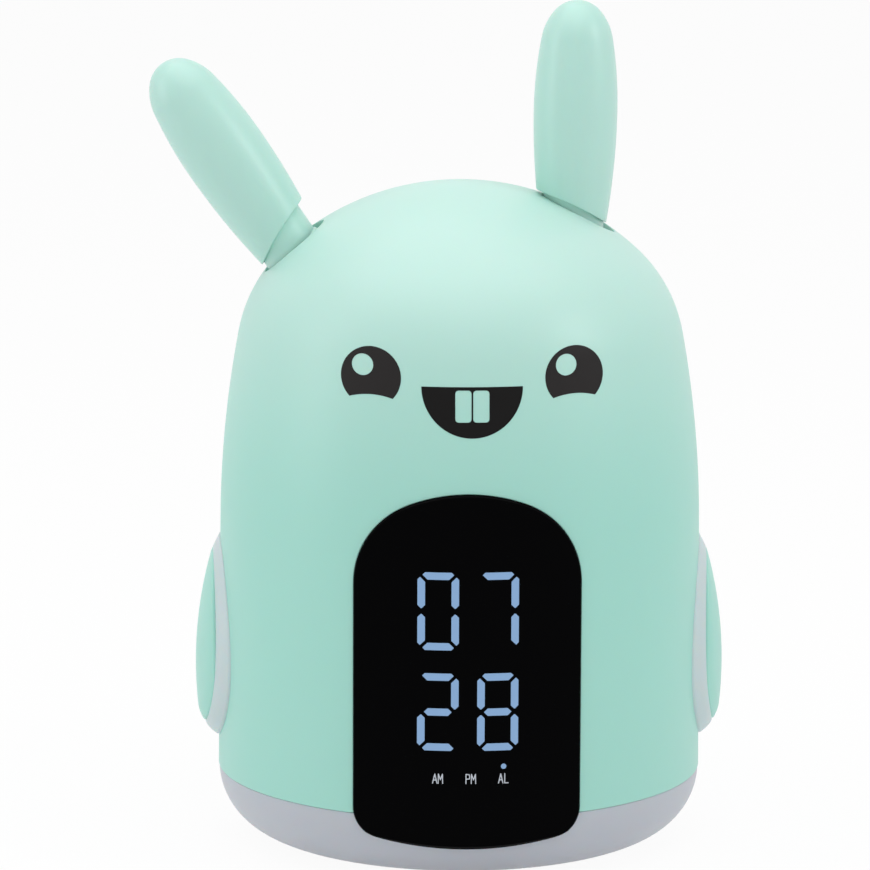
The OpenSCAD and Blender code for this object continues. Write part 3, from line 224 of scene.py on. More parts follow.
soft_lamp("top lamp", (-60, -80, 1000), (0, 0, 120), (1300, 1100), 5.1)
soft_lamp("left lamp", (-1100, -240, 420), (0, 0, 100), (450, 900), 2.1)
soft_lamp("right lamp", (900, -430, 620), (0, 0, 150), (260, 420), 1.9)

bpy.context.scene.view_settings.view_transform = "Standard"


# ---- Body shell -------------------------------------------------------------
# One thin-walled moulding in mint plastic: a round cap, a shoulder and a nearly
# straight wall. It is open where the window, the ears and the back panel sit,
# and drilled at the back in front of the loudspeaker.
SPLIT_Z = 18.0
BODY_R = 60.8
SIDE_TAPER = math.radians(0.56)
STRAIGHT_H = 63.0
SIDE_ARC_R = 267.0
SHOULDER_R = 36.6
SHOULDER_END = math.radians(79.2)
CAP_ANGLE = math.radians(42.8)
SHELL_WALL = 2.2
UNDER_Z = 1.2
BELOW = 14.0


def arc_run(centre, radius, start, end, step=0.5):
    """Points on an arc with their outward directions; angles are from straight up.

    A point is the centre plus the radius times (sin a, cos a), which is also its direction.
    """
    count = max(2, int(abs(end - start) * radius / step) + 1)
    a = np.linspace(start, end, count)
    away = np.stack([np.sin(a), np.cos(a)], 1)
    return np.hstack([np.array(centre) + radius * away, away])


def line_run(start, end):
    """The two ends of a straight line; the outward direction is square to it, on its left."""
    along = np.subtract(end, start) / np.linalg.norm(np.subtract(end, start))
    away = np.array([-along[1], along[0]])
    return np.array([[*start, *away], [*end, *away]])


class Turned:
    """A surface of revolution: a profile of radius and height, carried round the Z axis.

    Its two parameters are the angle from the front, and the length along the profile.
    """

    def __init__(self, *runs):
        self.rows = np.vstack(runs)
        steps = np.linalg.norm(np.diff(self.rows[:, :2], axis=0), axis=1)
        self.lengths = np.concatenate([[0.0], np.cumsum(steps)])
        self.length = self.lengths[-1]

    def profile(self, s):
        return [np.interp(s, self.lengths, self.rows[:, k]) for k in range(4)]

    def point(self, a, s, off=0.0):
        """(radius + off along the profile's direction) times (sin a, -cos a), and the height."""
        r, z, away_r, away_z = self.profile(s)
        reach = r + off * away_r
        return np.stack([reach * np.sin(a), -reach * np.cos(a), z + off * away_z], -1)

    def normal(self, a, s):
        _, _, away_r, away_z = self.profile(s)
        return np.stack([away_r * np.sin(a), -away_r * np.cos(a), away_z], -1)

    def at_height(self, z):
        """The length along the profile at which it passes a height, going down."""
        return float(np.interp(-z, -self.rows[:, 1], self.lengths))


cone_top = np.array([BODY_R - STRAIGHT_H * math.tan(SIDE_TAPER), SPLIT_Z + STRAIGHT_H])
side_centre = cone_top - SIDE_ARC_R * np.array([math.cos(SIDE_TAPER), math.sin(SIDE_TAPER)])
shoulder_way = np.array([math.sin(SHOULDER_END), math.cos(SHOULDER_END)])
shoulder_centre = side_centre + (SIDE_ARC_R - SHOULDER_R) * shoulder_way
cap_r = SHOULDER_R + shoulder_centre[0] / math.sin(CAP_ANGLE)
cap_centre = (0.0, shoulder_centre[1] - (cap_r - SHOULDER_R) * math.cos(CAP_ANGLE))


def wall_r(z):
    """Radius of the straight lower wall at a height, continued down over the base."""
    return BODY_R - (z - SPLIT_Z) * math.tan(SIDE_TAPER)


straight_top, straight_end = SPLIT_Z + STRAIGHT_H - 0.1, SPLIT_Z - BELOW
body_surface = Turned(
    arc_run(cap_centre, cap_r, 0.0, CAP_ANGLE),
    arc_run(shoulder_centre, SHOULDER_R, CAP_ANGLE, SHOULDER_END),
    arc_run(side_centre, SIDE_ARC_R, SHOULDER_END, math.pi / 2 - SIDE_TAPER),
    line_run((wall_r(straight_top), straight_top), (wall_r(straight_end), straight_end)),
)


def loop_points(*arcs, step=0.4):
    """A closed outline from arcs (centre, radius, first angle, last angle), angles from straight up."""
    return np.vstack([arc_run(c, r, math.radians(a), math.radians(b), step)[:, :2] for c, r, a, b in arcs])


def inside_loop(points, loop, reach=4.0):
    """Distance of each point from a closed outline, positive inside it, at most reach.

    The distance is the least one from the outline's straight pieces. A point is inside
    if a line from it crosses the outline an odd number of times.
    """
    found = np.full(len(points), -reach)
    low, high = loop.min(0) - reach, loop.max(0) + reach
    near = np.flatnonzero(np.all((points > low) & (points < high), axis=1))
    start, end = loop, np.roll(loop, -1, axis=0)
    along = end - start
    for part in np.array_split(near, max(1, len(near) // 8000)):
        p = points[part][:, None, :]
        t = np.clip(((p - start) * along).sum(-1) / np.maximum((along**2).sum(-1), 1e-12), 0, 1)
        gap = np.sqrt((((start + t[..., None] * along) - p) ** 2).sum(-1).min(1))
        above = (start[:, 1] > p[..., 1]) != (end[:, 1] > p[..., 1])
        rise = np.where(along[:, 1] == 0, 1e-12, along[:, 1])
        cross = start[:, 0] + (p[..., 1] - start[:, 1]) / rise * along[:, 0] > p[..., 0]
        odd = (above & cross).sum(1) % 2 == 1
        found[part] = np.clip(np.where(odd, gap, -gap), -reach, reach)
    return found


def inside_box(points, centre, half, corner):
    """Distance inside a rectangle with rounded corners, positive inside it."""
    q = np.abs(points - np.array(centre)) - np.array(half) + corner
    return corner - np.linalg.norm(np.maximum(q, 0), axis=-1) - np.minimum(q.max(-1), 0)


def inside_disc(points, centre, radius):
    """Distance inside a circle, positive inside it."""
    return radius - np.linalg.norm(points - np.array(centre), axis=-1)


class Solid:
    """Collects points, and faces with a normal at each corner, for one piece."""

    def __init__(self):
        self.points, self.faces, self.normals, self.count = [], [], [], 0

    def add_points(self, points):
        first = self.count
        self.points.append(points)
        self.count += len(points)
        return first

    def add_faces(self, faces, normals=None):
        self.faces.append(faces)
        self.normals.append(normals)

    def piece(self, name, material, body, *replaced, slot=None):
        """Makes the mesh in metres, gives it its material and lets it ride on its body."""
        points = np.vstack(self.points) * 0.001
        sizes = np.concatenate([np.full(len(f), f.shape[1]) for f in self.faces])
        corners = np.concatenate([f.ravel() for f in self.faces])
        mesh = bpy.data.meshes.new(name)
        mesh.vertices.add(len(points))
        mesh.vertices.foreach_set("co", points.astype(np.float32).ravel())
        mesh.loops.add(len(corners))
        mesh.loops.foreach_set("vertex_index", corners.astype(np.int32))
        mesh.polygons.add(len(sizes))
        mesh.polygons.foreach_set("loop_start", (np.cumsum(sizes) - sizes).astype(np.int32))
        mesh.polygons.foreach_set("use_smooth", np.ones(len(sizes), bool))
        mesh.update(calc_edges=True)
        mesh.validate()
        if all(n is not None for n in self.normals):
            mesh.normals_split_custom_set(np.vstack([n.reshape(-1, 3) for n in self.normals]))
        mesh.materials.append(material)
        made = bpy.data.objects.new(name, mesh)
        bpy.context.scene.collection.objects.link(made)
        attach(made, body)
        if replaced:
            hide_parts(*replaced)


EDGE_STEPS, TINY, SNAP_NEAR, LEAST_INSIDE = 3, 0.02, 0.22, 0.1


def grid_cells(rows, columns, width):
    """Four corners for each cell of a grid of points, which closes if its width is its columns."""
    across = np.arange(columns)
    beside = (across + 1) % width
    base = np.arange(rows)[:, None] * width
    corners = [base + across, base + width + across, base + width + beside, base + beside]
    return np.stack(corners, -1).reshape(-1, 4)


def cut_sheet(solid, surface, span, rise, cell, inside, top, back, edge, chamfer=False, around=False):
    """A plate cut out of a surface of revolution, with eased edges, added to a solid.

    The grid has cells of that size over the span of angles and the rise along the profile.
    Cells that reach into the outline stay, and their outer corners are moved onto it,
    against the gradient of inside. From there the edge falls by a quarter circle, or a
    chamfer, to the outline, and a wall goes on to the back at that depth.
    """
    radius = surface.profile(np.linspace(*rise, 30))[0].max()
    columns = max(3, int(round((span[1] - span[0]) * radius / cell)))
    rows = max(3, int(round((rise[1] - rise[0]) / cell)))
    a = np.linspace(span[0], span[1], columns + 1)[: columns if around else None]
    s = np.linspace(rise[0], rise[1], rows + 1)
    width = len(a)
    A, S = (g.ravel() for g in np.meshgrid(a, s))

    def room(a, s):
        p = surface.point(a, s)
        return inside(p) - edge(p)

    cells = grid_cells(rows, columns, width)
    f = room(A, S)
    cells = cells[(f[cells] > 0).any(1)]
    snapped = np.zeros(len(A), bool)
    snapped[cells.ravel()] = True
    snapped &= (f < 0) | (np.abs(f) < SNAP_NEAR * cell)
    which = np.flatnonzero(snapped)

    def slope(a, s):
        """Distance at points of the surface, and its gradient per mm round and along it."""
        here = room(a, s)
        r = np.maximum(surface.profile(s)[0], 1e-3)
        return here, (room(a + TINY / r, s) - here) / TINY, (room(a, s + TINY) - here) / TINY, r

    for _ in range(5):
        here, ga, gs, r = slope(A[which], S[which])
        pull = np.clip(-here / np.maximum(ga**2 + gs**2, 0.05), -cell, cell)
        A[which] += pull * ga / r
        S[which] += pull * gs
    edge_cells = snapped[cells].all(1) & (np.ptp(A[cells], axis=1) <= math.pi)
    middle_a, middle_s = (g[cells[edge_cells]].mean(1) for g in (A, S))
    keep = np.ones(len(cells), bool)
    keep[edge_cells] = room(middle_a, middle_s) > LEAST_INSIDE * cell
    cells = cells[keep]

    pairs = np.stack([cells, np.roll(cells, -1, axis=1)], -1).reshape(-1, 2)
    codes, mirrored = pairs[:, 0] * len(A) + pairs[:, 1], pairs[:, 1] * len(A) + pairs[:, 0]
    rim_pairs = pairs[~np.isin(codes, mirrored)]
    used, flat = np.unique(cells, return_inverse=True)
    cells = flat.reshape(-1, 4)
    rim, rim_pairs = np.unique(rim_pairs, return_inverse=True)
    rim_pairs = rim_pairs.reshape(-1, 2)
    rim_in_used = np.searchsorted(used, rim)
    A, S, rim_a, rim_s = A[used], S[used], A[rim], S[rim]
    top_p, top_n = surface.point(A, S, top), surface.normal(A, S)
    first = solid.add_points(top_p)
    solid.add_faces(cells + first, top_n[cells])

    _, ga, gs, r = slope(rim_a, rim_s)
    size = np.maximum(np.hypot(ga, gs), 0.3)
    out_a, out_s = -ga / size**2, -gs / size**2
    ease = edge(surface.point(rim_a, rim_s))
    ends = surface.point(rim_a + out_a * ease / r, rim_s + out_s * ease, top)
    away = ends - surface.point(rim_a, rim_s, top)
    away /= np.maximum(np.linalg.norm(away, axis=1, keepdims=True), 1e-9)
    up = surface.normal(rim_a, rim_s)
    ring, ring_n = rim_in_used + first, up
    one, two = rim_pairs.T

    def belt(high, high_n, low, low_n):
        """Adds the faces between two rings of points along the rim, with their normals."""
        solid.add_faces(np.stack([high[two], high[one], low[one], low[two]], 1),
                        np.stack([high_n[two], high_n[one], low_n[one], low_n[two]], 1))

    for k in range(1, EDGE_STEPS + 1):
        t = k / EDGE_STEPS * math.pi / 2
        out, fall = (k / EDGE_STEPS,) * 2 if chamfer else (math.sin(t), 1 - math.cos(t))
        p = surface.point(rim_a + out * out_a * ease / r, rim_s + out * out_s * ease, top - fall * ease)
        n = (up + away) / math.sqrt(2) if chamfer else up * math.cos(t) + away * math.sin(t)
        below = solid.add_points(p) + np.arange(len(rim))
        belt(ring, n if chamfer else ring_n, below, n)
        ring, ring_n = below, n
    low_a, low_s = A.copy(), S.copy()
    low_a[rim_in_used] = rim_a + out_a * ease / r
    low_s[rim_in_used] = rim_s + out_s * ease
    low_p = surface.point(low_a, low_s, back(surface.point(low_a, low_s)))
    start = solid.add_points(low_p)
    solid.add_faces(cells[:, ::-1] + start, -top_n[cells[:, ::-1]])
    belt(ring, away, start + rim_in_used, away)


LENS_W = 54.9
LENS_TOP = UNDER_Z + 96.6
LENS_BOTTOM = UNDER_Z + 8.9
ARCH_H = 22.5
ARCH_R = 21.3
LENS_CORNER_R = 7.4
SILL_R = 101.0


def lens_loop(grow=0.0):
    """The window's outline: a sill arc, two corners, two shoulders and the arch, grown outwards."""
    w, rc, rb, rs, b = (v + grow for v in (LENS_W / 2, LENS_CORNER_R, SILL_R, ARCH_R, ARCH_H))
    sill_z = LENS_BOTTOM + SILL_R
    corner_z = sill_z - math.sqrt((rb - rc) ** 2 - (w - rc) ** 2)
    spring_z = LENS_TOP - ARCH_H
    rt = ((w - rs) ** 2 + b * b - rs * rs) / (2 * (b - rs))
    arch_z = spring_z + b - rt
    ta = math.degrees(math.atan2(w - rs, spring_z - arch_z))
    ca = math.degrees(math.atan2(w - rc, corner_z - sill_z))
    return loop_points(
        ((0, sill_z), rb, 360 - ca, ca), ((w - rc, corner_z), rc, ca, 90), ((w - rs, spring_z), rs, 90, ta),
        ((0, arch_z), rt, ta, -ta), ((rs - w, spring_z), rs, -ta, -90), ((rc - w, corner_z), rc, -90, -ca),
    )


PANEL_MID = (0.0, UNDER_Z + 53.0)
PANEL_HALF = (21.0, 26.0)
PANEL_CORNER = 5.0
SPEAKER_MID = (0.0, UNDER_Z + 106.0)
GRILLE_R = 16.5
GRILLE_PITCH, GRILLE_HOLE_R, GRILLE_HOLES_R = 4.6, 1.1, 14.4
FIT_GAP = 0.15
NECK_R = 7.55
HINGE = (5.0, -12.2)
EAR_SWING = math.radians(14)
NECK_ROOM = 0.4


def ear_place(side, x, lean, lift):
    """An ear's side, lean and root, which lies over the dome at x, lifted along the ear's axis."""
    lean = math.radians(lean)
    on_cap = x < cap_r * math.sin(CAP_ANGLE)
    middle, radius = (cap_centre, cap_r) if on_cap else (shoulder_centre, SHOULDER_R)
    dome_z = middle[1] + math.sqrt(radius**2 - (x - middle[0]) ** 2)
    return {"side": side, "root": (x + lift * math.sin(lean), dome_z + lift * math.cos(lean)), "lean": lean}


EARS = {"right": ear_place(1, 27.93, 0.8, -0.2), "left": ear_place(-1, 42.88, 34.6, 3.5)}


def neck_axis(ear, turn):
    """A point and direction of an ear's neck in X and Z, after it has turned at its hinge."""
    pivot = turned_y(HINGE, ear["lean"]) + np.array(ear["root"])
    axis = turned_y((0.0, 1.0), ear["lean"] + turn)
    point = pivot - turned_y(HINGE, ear["lean"] + turn)
    return point * (ear["side"], 1), axis * (ear["side"], 1)


def turned_y(vector, angle):
    """(x, z) turned by the angle about +Y, which brings +Z towards +X."""
    x, z = vector
    return np.array([x * math.cos(angle) + z * math.sin(angle), z * math.cos(angle) - x * math.sin(angle)])


NECK_AXES = [
    neck_axis(ear, ear["side"] * turn)
    for ear in EARS.values()
    for turn in (0.0, EAR_SWING / 2, EAR_SWING)
]
seat_loop = lens_loop(FIT_GAP)
DOME_FOOT_Z, FAR = 100.0, 9.0
dome_rows = body_surface.rows[body_surface.rows[:, 1] > DOME_FOOT_Z]


def behind_wall(p):
    """The place on the shell's inner side behind each point of its dome."""
    r = np.maximum(np.hypot(p[:, 0], p[:, 1]), 0.01)
    out, up = (np.interp(r, dome_rows[:, 0], dome_rows[:, k]) for k in (2, 3))
    return p - SHELL_WALL * np.stack([p[:, 0] / r * out, p[:, 1] / r * out, up], -1)


def less(room, where, other):
    """The lesser of two distances, of which the second counts only in one place."""
    return np.minimum(room, np.where(where, other, FAR))


def shell_room(p):
    """Distance inside the shell: above its lower edge and outside each of its openings."""
    xz = p[:, (0, 2)]
    front = p[:, 1] < 0
    room = less(p[:, 2] - SPLIT_Z, front, -inside_loop(xz, seat_loop))
    room = less(room, ~front, -inside_box(xz, PANEL_MID, PANEL_HALF, PANEL_CORNER))
    room = less(room, ~front, -inside_disc(xz, SPEAKER_MID, GRILLE_R))
    for q in (p, behind_wall(p)):
        for point, axis in NECK_AXES:
            across = (q[:, (0, 2)] - point) @ np.array([axis[1], -axis[0]])
            hole = np.hypot(across, q[:, 1]) - NECK_R - NECK_ROOM
            room = less(room, p[:, 2] > DOME_FOOT_Z, hole)
    return room


def grille_room(p):
    """Distance inside the drilled disc in front of the loudspeaker: its edge, less the holes."""
    xz = p[:, (0, 2)] - np.array(SPEAKER_MID)
    room = GRILLE_R - np.linalg.norm(xz, axis=-1)
    for j in range(-3, 4):
        for i in range(-3, 4):
            hole = GRILLE_PITCH * np.array([i + j / 2, j * math.sin(math.radians(60))])
            if np.linalg.norm(hole) < GRILLE_HOLES_R:
                room = np.minimum(room, -inside_disc(xz, hole, GRILLE_HOLE_R))
    return room


MINT = (0.355, 0.715, 0.62)
# The paler mint is a painted highlight. It is mixed in towards the top of the body, and over the ears, in
# place of the broad sheen from the lamp above.
PAINTED_HIGHLIGHT_MINT = (0.54, 0.80, 0.725)
HIGHLIGHT_FROM_Z, HIGHLIGHT_TO_Z, HIGHLIGHT_MOST = 85.0, 160.0, 0.9


def mint_plastic(name, highlight_share, **sockets):
    """Satin mint plastic with the fine grain of its mould. A paler mint is mixed over it by a share that
    may vary, as a painted highlight, with a little random unevenness of tone added.
    """
    shader = Shader(name, MINT, 0.40, Specular_IOR_Level=0.6, Subsurface_Weight=0.12,
                    Subsurface_Scale=0.002, **sockets)
    shader.tint(highlight_share(shader) + 0.08 * shader.noise(45.0), PAINTED_HIGHLIGHT_MINT)
    shader.polish(0.37, 6.0)
    shader.grain(0.35, 0.012)
    return shader.material


def steady(value):
    """A depth or width that is the same everywhere."""
    return lambda p: np.full(len(p), float(value))


def painted_highlight_upwards(shader):
    """Painted highlight: a share of paler mint that rises smoothly from 0 half-way up the body to its most
    on the dome, in place of the dome's broad sheen.
    """
    place = shader.node("ShaderNodeTexCoord", output="Object")
    height = shader.node("ShaderNodeSeparateXYZ", None, {"Vector": place}, "Z")
    return shader.node("ShaderNodeMapRange", {"interpolation_type": "SMOOTHSTEP"},
                       {"Value": height, "From Min": HIGHLIGHT_FROM_Z * 0.001, "From Max": HIGHLIGHT_TO_Z * 0.001,
                        "To Max": HIGHLIGHT_MOST}, "Result")


mint = mint_plastic("mint plastic", painted_highlight_upwards)
shell = Solid()
pole_gap = 0.03
shell_rise = (pole_gap, body_surface.at_height(SPLIT_Z - 2.5))
cut_sheet(shell, body_surface, (-math.pi, math.pi), shell_rise, 1.3, shell_room, 0.0, steady(-SHELL_WALL),
          steady(0.25), around=True)
grille_rise = (body_surface.at_height(SPEAKER_MID[1] + 18), body_surface.at_height(SPEAKER_MID[1] - 18))
cut_sheet(shell, body_surface, (math.pi - 0.32, math.pi + 0.32), grille_rise, 0.45, grille_room, 0.0,
          steady(-SHELL_WALL), steady(0.02))
shell.piece("shell", mint, "clock_body", "body_shell", slot="mint_shell")


# ---- Window -----------------------------------------------------------------
# A dark polished plastic window, moulded to the body's curve. It lies in the
# shell's seat, and its thicker lower lip hangs over the white base.
LENS_PROUD, SEAT_DEPTH = 0.8, 1.15
LENS_EDGE, SILL_BEVEL, SILL_BEVEL_H = 0.35, 0.95, 2.6
BASE_R = 60.6
BASE_EDGE_R = 16.6


def base_r(z):
    """Radius of the base at a height: straight above its rounded lower edge."""
    drop = np.clip(UNDER_Z + BASE_EDGE_R - z, 0, BASE_EDGE_R)
    return BASE_R - BASE_EDGE_R + np.sqrt(BASE_EDGE_R**2 - drop**2)


window_loop = lens_loop()


def lens_back(p):
    """Depth of the window's back: the shell's seat, or the base's surface below it."""
    over_base = base_r(p[:, 2]) + FIT_GAP - wall_r(p[:, 2])
    return np.where(p[:, 2] > SPLIT_Z, -SEAT_DEPTH, over_base)


def lens_edge(p):
    """Width of the window's eased edge: fine all round, and a wide bevel along its sill."""
    sill = np.clip(1 - (p[:, 2] - LENS_BOTTOM - 1.0) / SILL_BEVEL_H, 0, 1)
    return LENS_EDGE + SILL_BEVEL * sill


smoked = Shader("smoked window", (0.0006, 0.0006, 0.0008), 0.10, Specular_IOR_Level=0.02)
smoked.tint(smoked.noise(60.0), (0.0012, 0.0012, 0.0015), 0.6)
smoked.set("Roughness", 0.08 + 0.05 * smoked.noise(9.0))
window = Solid()
front_half = math.radians(29)
window_rise = (body_surface.at_height(LENS_TOP + 1.5), body_surface.at_height(LENS_BOTTOM - 1.5))
cut_sheet(
    window, body_surface, (-front_half, front_half), window_rise, 0.7,
    lambda p: inside_loop(p[:, (0, 2)], window_loop), LENS_PROUD, lens_back, lens_edge, chamfer=True,
)
window.piece("window", smoked.material, "clock_body", "display_lens", slot="window_black")


# ---- Lit figures and legends --------------------------------------------------
# The time shows as pale blue bars behind the dark window, over three small
# white legends and a lit dot. They are thin layers on the window's face.
FIGURE_H, FIGURE_W, BAR_W, FIGURE_PITCH, FIGURE_X = 19.1, 9.85, 1.8, 14.28, -0.05
HOURS_Z, MINUTES_Z = UNDER_Z + 68.4, UNDER_Z + 43.6
BAR_SPACE, CORNER_CUT, POINT_SPACE, MIDDLE_BAR = 0.8, 1.78, 1.2, 6.6
LAYER, LAYER_SUNK, PATCH_MARGIN = 0.1, 0.02, 0.6
FIGURES = {
    (-1, HOURS_Z): "abcdef", (1, HOURS_Z): "abc",
    (-1, MINUTES_Z): "abged", (1, MINUTES_Z): "abcdefg",
}
DIAGONAL = math.sqrt(2)


def figure_room(centre, lit):
    """Distance inside the lit bars of a seven-bar figure, lettered a to g in the usual way.

    Side and fall are the distances in from the figure's side and from its top or bottom.
    The outer bars part along the line side = fall, and the figure's corners are cut at
    45 degrees. The standing bars come to a point at middle height, as the middle bar does
    at both its ends.
    """

    def room(p):
        x, z = p[:, 0] - centre[0], p[:, 2] - centre[1]
        side, fall = FIGURE_W / 2 - np.abs(x), FIGURE_H / 2 - np.abs(z)
        mitre, corner = (side - fall) / DIAGONAL, (side + fall - CORNER_CUT) / DIAGONAL
        lying = np.minimum.reduce([fall, BAR_W - fall, mitre - BAR_SPACE / 2, corner])
        point = (np.abs(z) - POINT_SPACE / 2 - np.abs(side - BAR_W / 2)) / DIAGONAL
        standing = np.minimum.reduce([side, BAR_W - side, -mitre - BAR_SPACE / 2, corner, point])
        middle = np.minimum(BAR_W / 2 - np.abs(z), (MIDDLE_BAR / 2 - np.abs(x) - np.abs(z)) / DIAGONAL)
        bars = {
            "a": (lying, z > 0), "b": (standing, (x > 0) & (z > 0)), "c": (standing, (x > 0) & (z < 0)),
            "d": (lying, z < 0), "e": (standing, (x < 0) & (z < 0)), "f": (standing, (x < 0) & (z > 0)),
            "g": (middle, x == x),
        }
        return np.max([np.where(bars[k][1], bars[k][0], -FAR) for k in lit], axis=0)

    return room


def front_patch(solid, centre, half, cell, room, top, thick, edge):
    """A thin layer on the front of the body, over a window of X and Z round a centre."""
    rise = (body_surface.at_height(centre[1] + half[1]), body_surface.at_height(centre[1] - half[1]))
    radii = body_surface.profile(np.array(rise))[0]
    angles = np.arcsin((centre[0] + half[0] * np.array([[-1], [1]])) / radii)
    span = (angles.min(), angles.max())
    cut_sheet(solid, body_surface, span, rise, cell, room, top, steady(top - thick), steady(edge))


def lit_patch(solid, centre, half, cell, room, edge):
    """A thin layer on the window's face."""
    front_patch(solid, centre, half, cell, room, LENS_PROUD + LAYER, LAYER + LAYER_SUNK, edge)


def glowing(name, colour, strength):
    """A lit layer: its own colour under room light, and an even glow of that colour."""
    shader = Shader(name, colour, 0.3, Emission_Strength=strength)
    shader.set("Emission Color", shader.colour)
    shader.cloud(8.0, 0.92, 0.6)
    return shader.material


figures = Solid()
for (column, row_z), lit in FIGURES.items():
    centre = (FIGURE_X + column * FIGURE_PITCH / 2, row_z)
    half = (FIGURE_W / 2 + PATCH_MARGIN, FIGURE_H / 2 + PATCH_MARGIN)
    lit_patch(figures, centre, half, 0.28, figure_room(centre, lit), 0.03)
lit_blue = glowing("lit blue bars", (0.235, 0.40, 0.65), 0.1)
figures.piece("lit_figures", lit_blue, "clock_body", "display_figures", slot="lit_segment")

LEGEND_X, LEGEND_Z, LEGEND_PITCH = 0.7, UNDER_Z + 27.1, 7.88
LETTER_W, LETTER_H, LETTER_PITCH, STROKE_W, DOT_R = 1.06, 2.3, 1.34, 0.23, 0.65
STROKES = {
    "A": [(-0.5, -0.5), (0, 0.5), (0.5, -0.5), None, (-0.3, -0.15), (0.3, -0.15)],
    "M": [(-0.5, -0.5), (-0.45, 0.5), (0, -0.1), (0.45, 0.5), (0.5, -0.5)],
    "P": [(-0.42, -0.5), (-0.42, 0.5), (0.3, 0.46), (0.42, 0.3), (0.42, 0.14), (0.3, 0.0), (-0.42, -0.02)],
    "L": [(-0.36, 0.5), (-0.36, -0.5), (0.42, -0.5)],
}
LEGENDS = {-1: "AM", 0: "PM", 1: "AL"}


def letter_room(letter, centre):
    """Distance inside a letter: half its stroke's width, less the distance from the middle line."""
    scale = np.array([LETTER_W, LETTER_H])
    path = STROKES[letter]
    strokes = [(a * scale, np.subtract(b, a) * scale) for a, b in zip(path, path[1:]) if a and b]

    def room(p):
        xz = p[:, (0, 2)] - np.array(centre)
        found = np.full(len(xz), -FAR)
        for start, along in strokes:
            t = np.clip(((xz - start) @ along) / (along @ along), 0, 1)[:, None]
            found = np.maximum(found, STROKE_W / 2 - np.linalg.norm(start + t * along - xz, axis=1))
        return found

    return room


legends = Solid()
for place, word in LEGENDS.items():
    for side, letter in zip((-1, 1), word):
        centre = (LEGEND_X + place * LEGEND_PITCH + side * LETTER_PITCH / 2, LEGEND_Z)
        lit_patch(legends, centre, (0.85, 1.5), 0.09, letter_room(letter, centre), 0.01)
lit_white = glowing("lit white legends", (0.52, 0.56, 0.62), 0.08)
legends.piece("lit_legends", lit_white, "clock_body", "display_legends", slot="legend_white")
alarm_dot = Solid()
dot = (LEGEND_X + LEGEND_PITCH, LEGEND_Z + 3.0)
lit_patch(alarm_dot, dot, (1.1, 1.1), 0.12, lambda p: inside_disc(p[:, (0, 2)], dot, DOT_R), 0.02)
alarm_dot.piece("lit_alarm_dot", lit_blue, "clock_body", slot="legend_white")


# ---- Printed face -----------------------------------------------------------
# Two eyes and a mouth, pad-printed on the shell in one coat of near-black ink.
# The highlights in the eyes and the two front teeth are bare shell.
FACE_X = 1.1
EYE_X, EYE_Z, EYE_R = 24.5, UNDER_Z + 124.1, 7.15
GLINT_PLACE, GLINT_R, CHEEK_R, CHEEK_RISE = (-2.0, 2.75), 2.55, 16.6, 3.0
MOUTH_X, MOUTH_Z, MOUTH_R = FACE_X - 0.3, UNDER_Z + 122.4, 12.2
TOOTH_W, TOOTH_H, TOOTH_TOP, TOOTH_GAP, TOOTH_CORNER = 3.9, 7.6, 0.8, 0.4, 0.8
INK_TOP, INK_COAT = 0.06, 0.1


def eye_room(centre):
    """Distance inside an eye: a disc, less its glint and the cheek's disc below."""

    def room(p):
        xz = p[:, (0, 2)] - np.array(centre)
        glint = -inside_disc(xz, GLINT_PLACE, GLINT_R)
        cheek = -inside_disc(xz, (0, CHEEK_RISE - EYE_R - CHEEK_R), CHEEK_R)
        return np.minimum(np.minimum(inside_disc(xz, (0, 0), EYE_R), glint), cheek)

    return room


def mouth_room(p):
    """Distance inside the mouth: a half disc, less the two rounded teeth."""
    xz = p[:, (0, 2)] - np.array([MOUTH_X, MOUTH_Z])
    found = np.minimum(inside_disc(xz, (0, 0), MOUTH_R), -xz[:, 1])
    for side in (-1, 1):
        middle = (side * (TOOTH_W + TOOTH_GAP) / 2, -TOOTH_TOP - TOOTH_H / 2)
        found = np.minimum(found, -inside_box(xz, middle, (TOOTH_W / 2, TOOTH_H / 2), TOOTH_CORNER))
    return found


def printed(solid, centre, half, room):
    """A coat of ink on the shell."""
    front_patch(solid, centre, half, 0.3, room, INK_TOP, INK_COAT, 0.02)


def printing_ink(name, colour):
    """Flat near-black ink with the shell's grain under it."""
    shader = Shader(name, colour, 0.42, Specular_IOR_Level=0.08)
    shader.cloud(4.0, 1.25, 0.5)
    shader.grain(0.3, 0.01)
    return shader.material


eyes = Solid()
for side in (-1, 1):
    centre = (FACE_X + side * EYE_X, EYE_Z)
    printed(eyes, centre, (EYE_R + PATCH_MARGIN,) * 2, eye_room(centre))
eye_ink = printing_ink("eye ink", (0.024, 0.022, 0.022))
eyes.piece("printed_eyes", eye_ink, "clock_body", "eye_print", slot="printed_ink")
mouth = Solid()
printed(mouth, (MOUTH_X, MOUTH_Z - 6.0), (MOUTH_R + PATCH_MARGIN, 7.0), mouth_room)
mouth_ink = printing_ink("mouth ink", (0.009, 0.0085, 0.0085))
mouth.piece("printed_mouth", mouth_ink, "clock_body", "mouth_print", slot="printed_ink")


# ---- Glowing base -----------------------------------------------------------
# A bowl in milky white plastic that carries the shell and spreads the light of
# the ring of lamps above it. Its rounded lower edge lifts it off the table.
FOOT_CIRCLE_R, FOOT_R = 38.0, 5.5
DOOR_MID, DOOR_HALF = (3.0, 0.0), (30.15, 19.15)
base_floor_r = BASE_R - BASE_EDGE_R
base_surface = Turned(
    line_run((BASE_R, SPLIT_Z), (BASE_R, UNDER_Z + BASE_EDGE_R)),
    arc_run((base_floor_r, UNDER_Z + BASE_EDGE_R), BASE_EDGE_R, math.pi / 2, math.pi),
    line_run((base_floor_r, UNDER_Z), (0.0, UNDER_Z)),
)


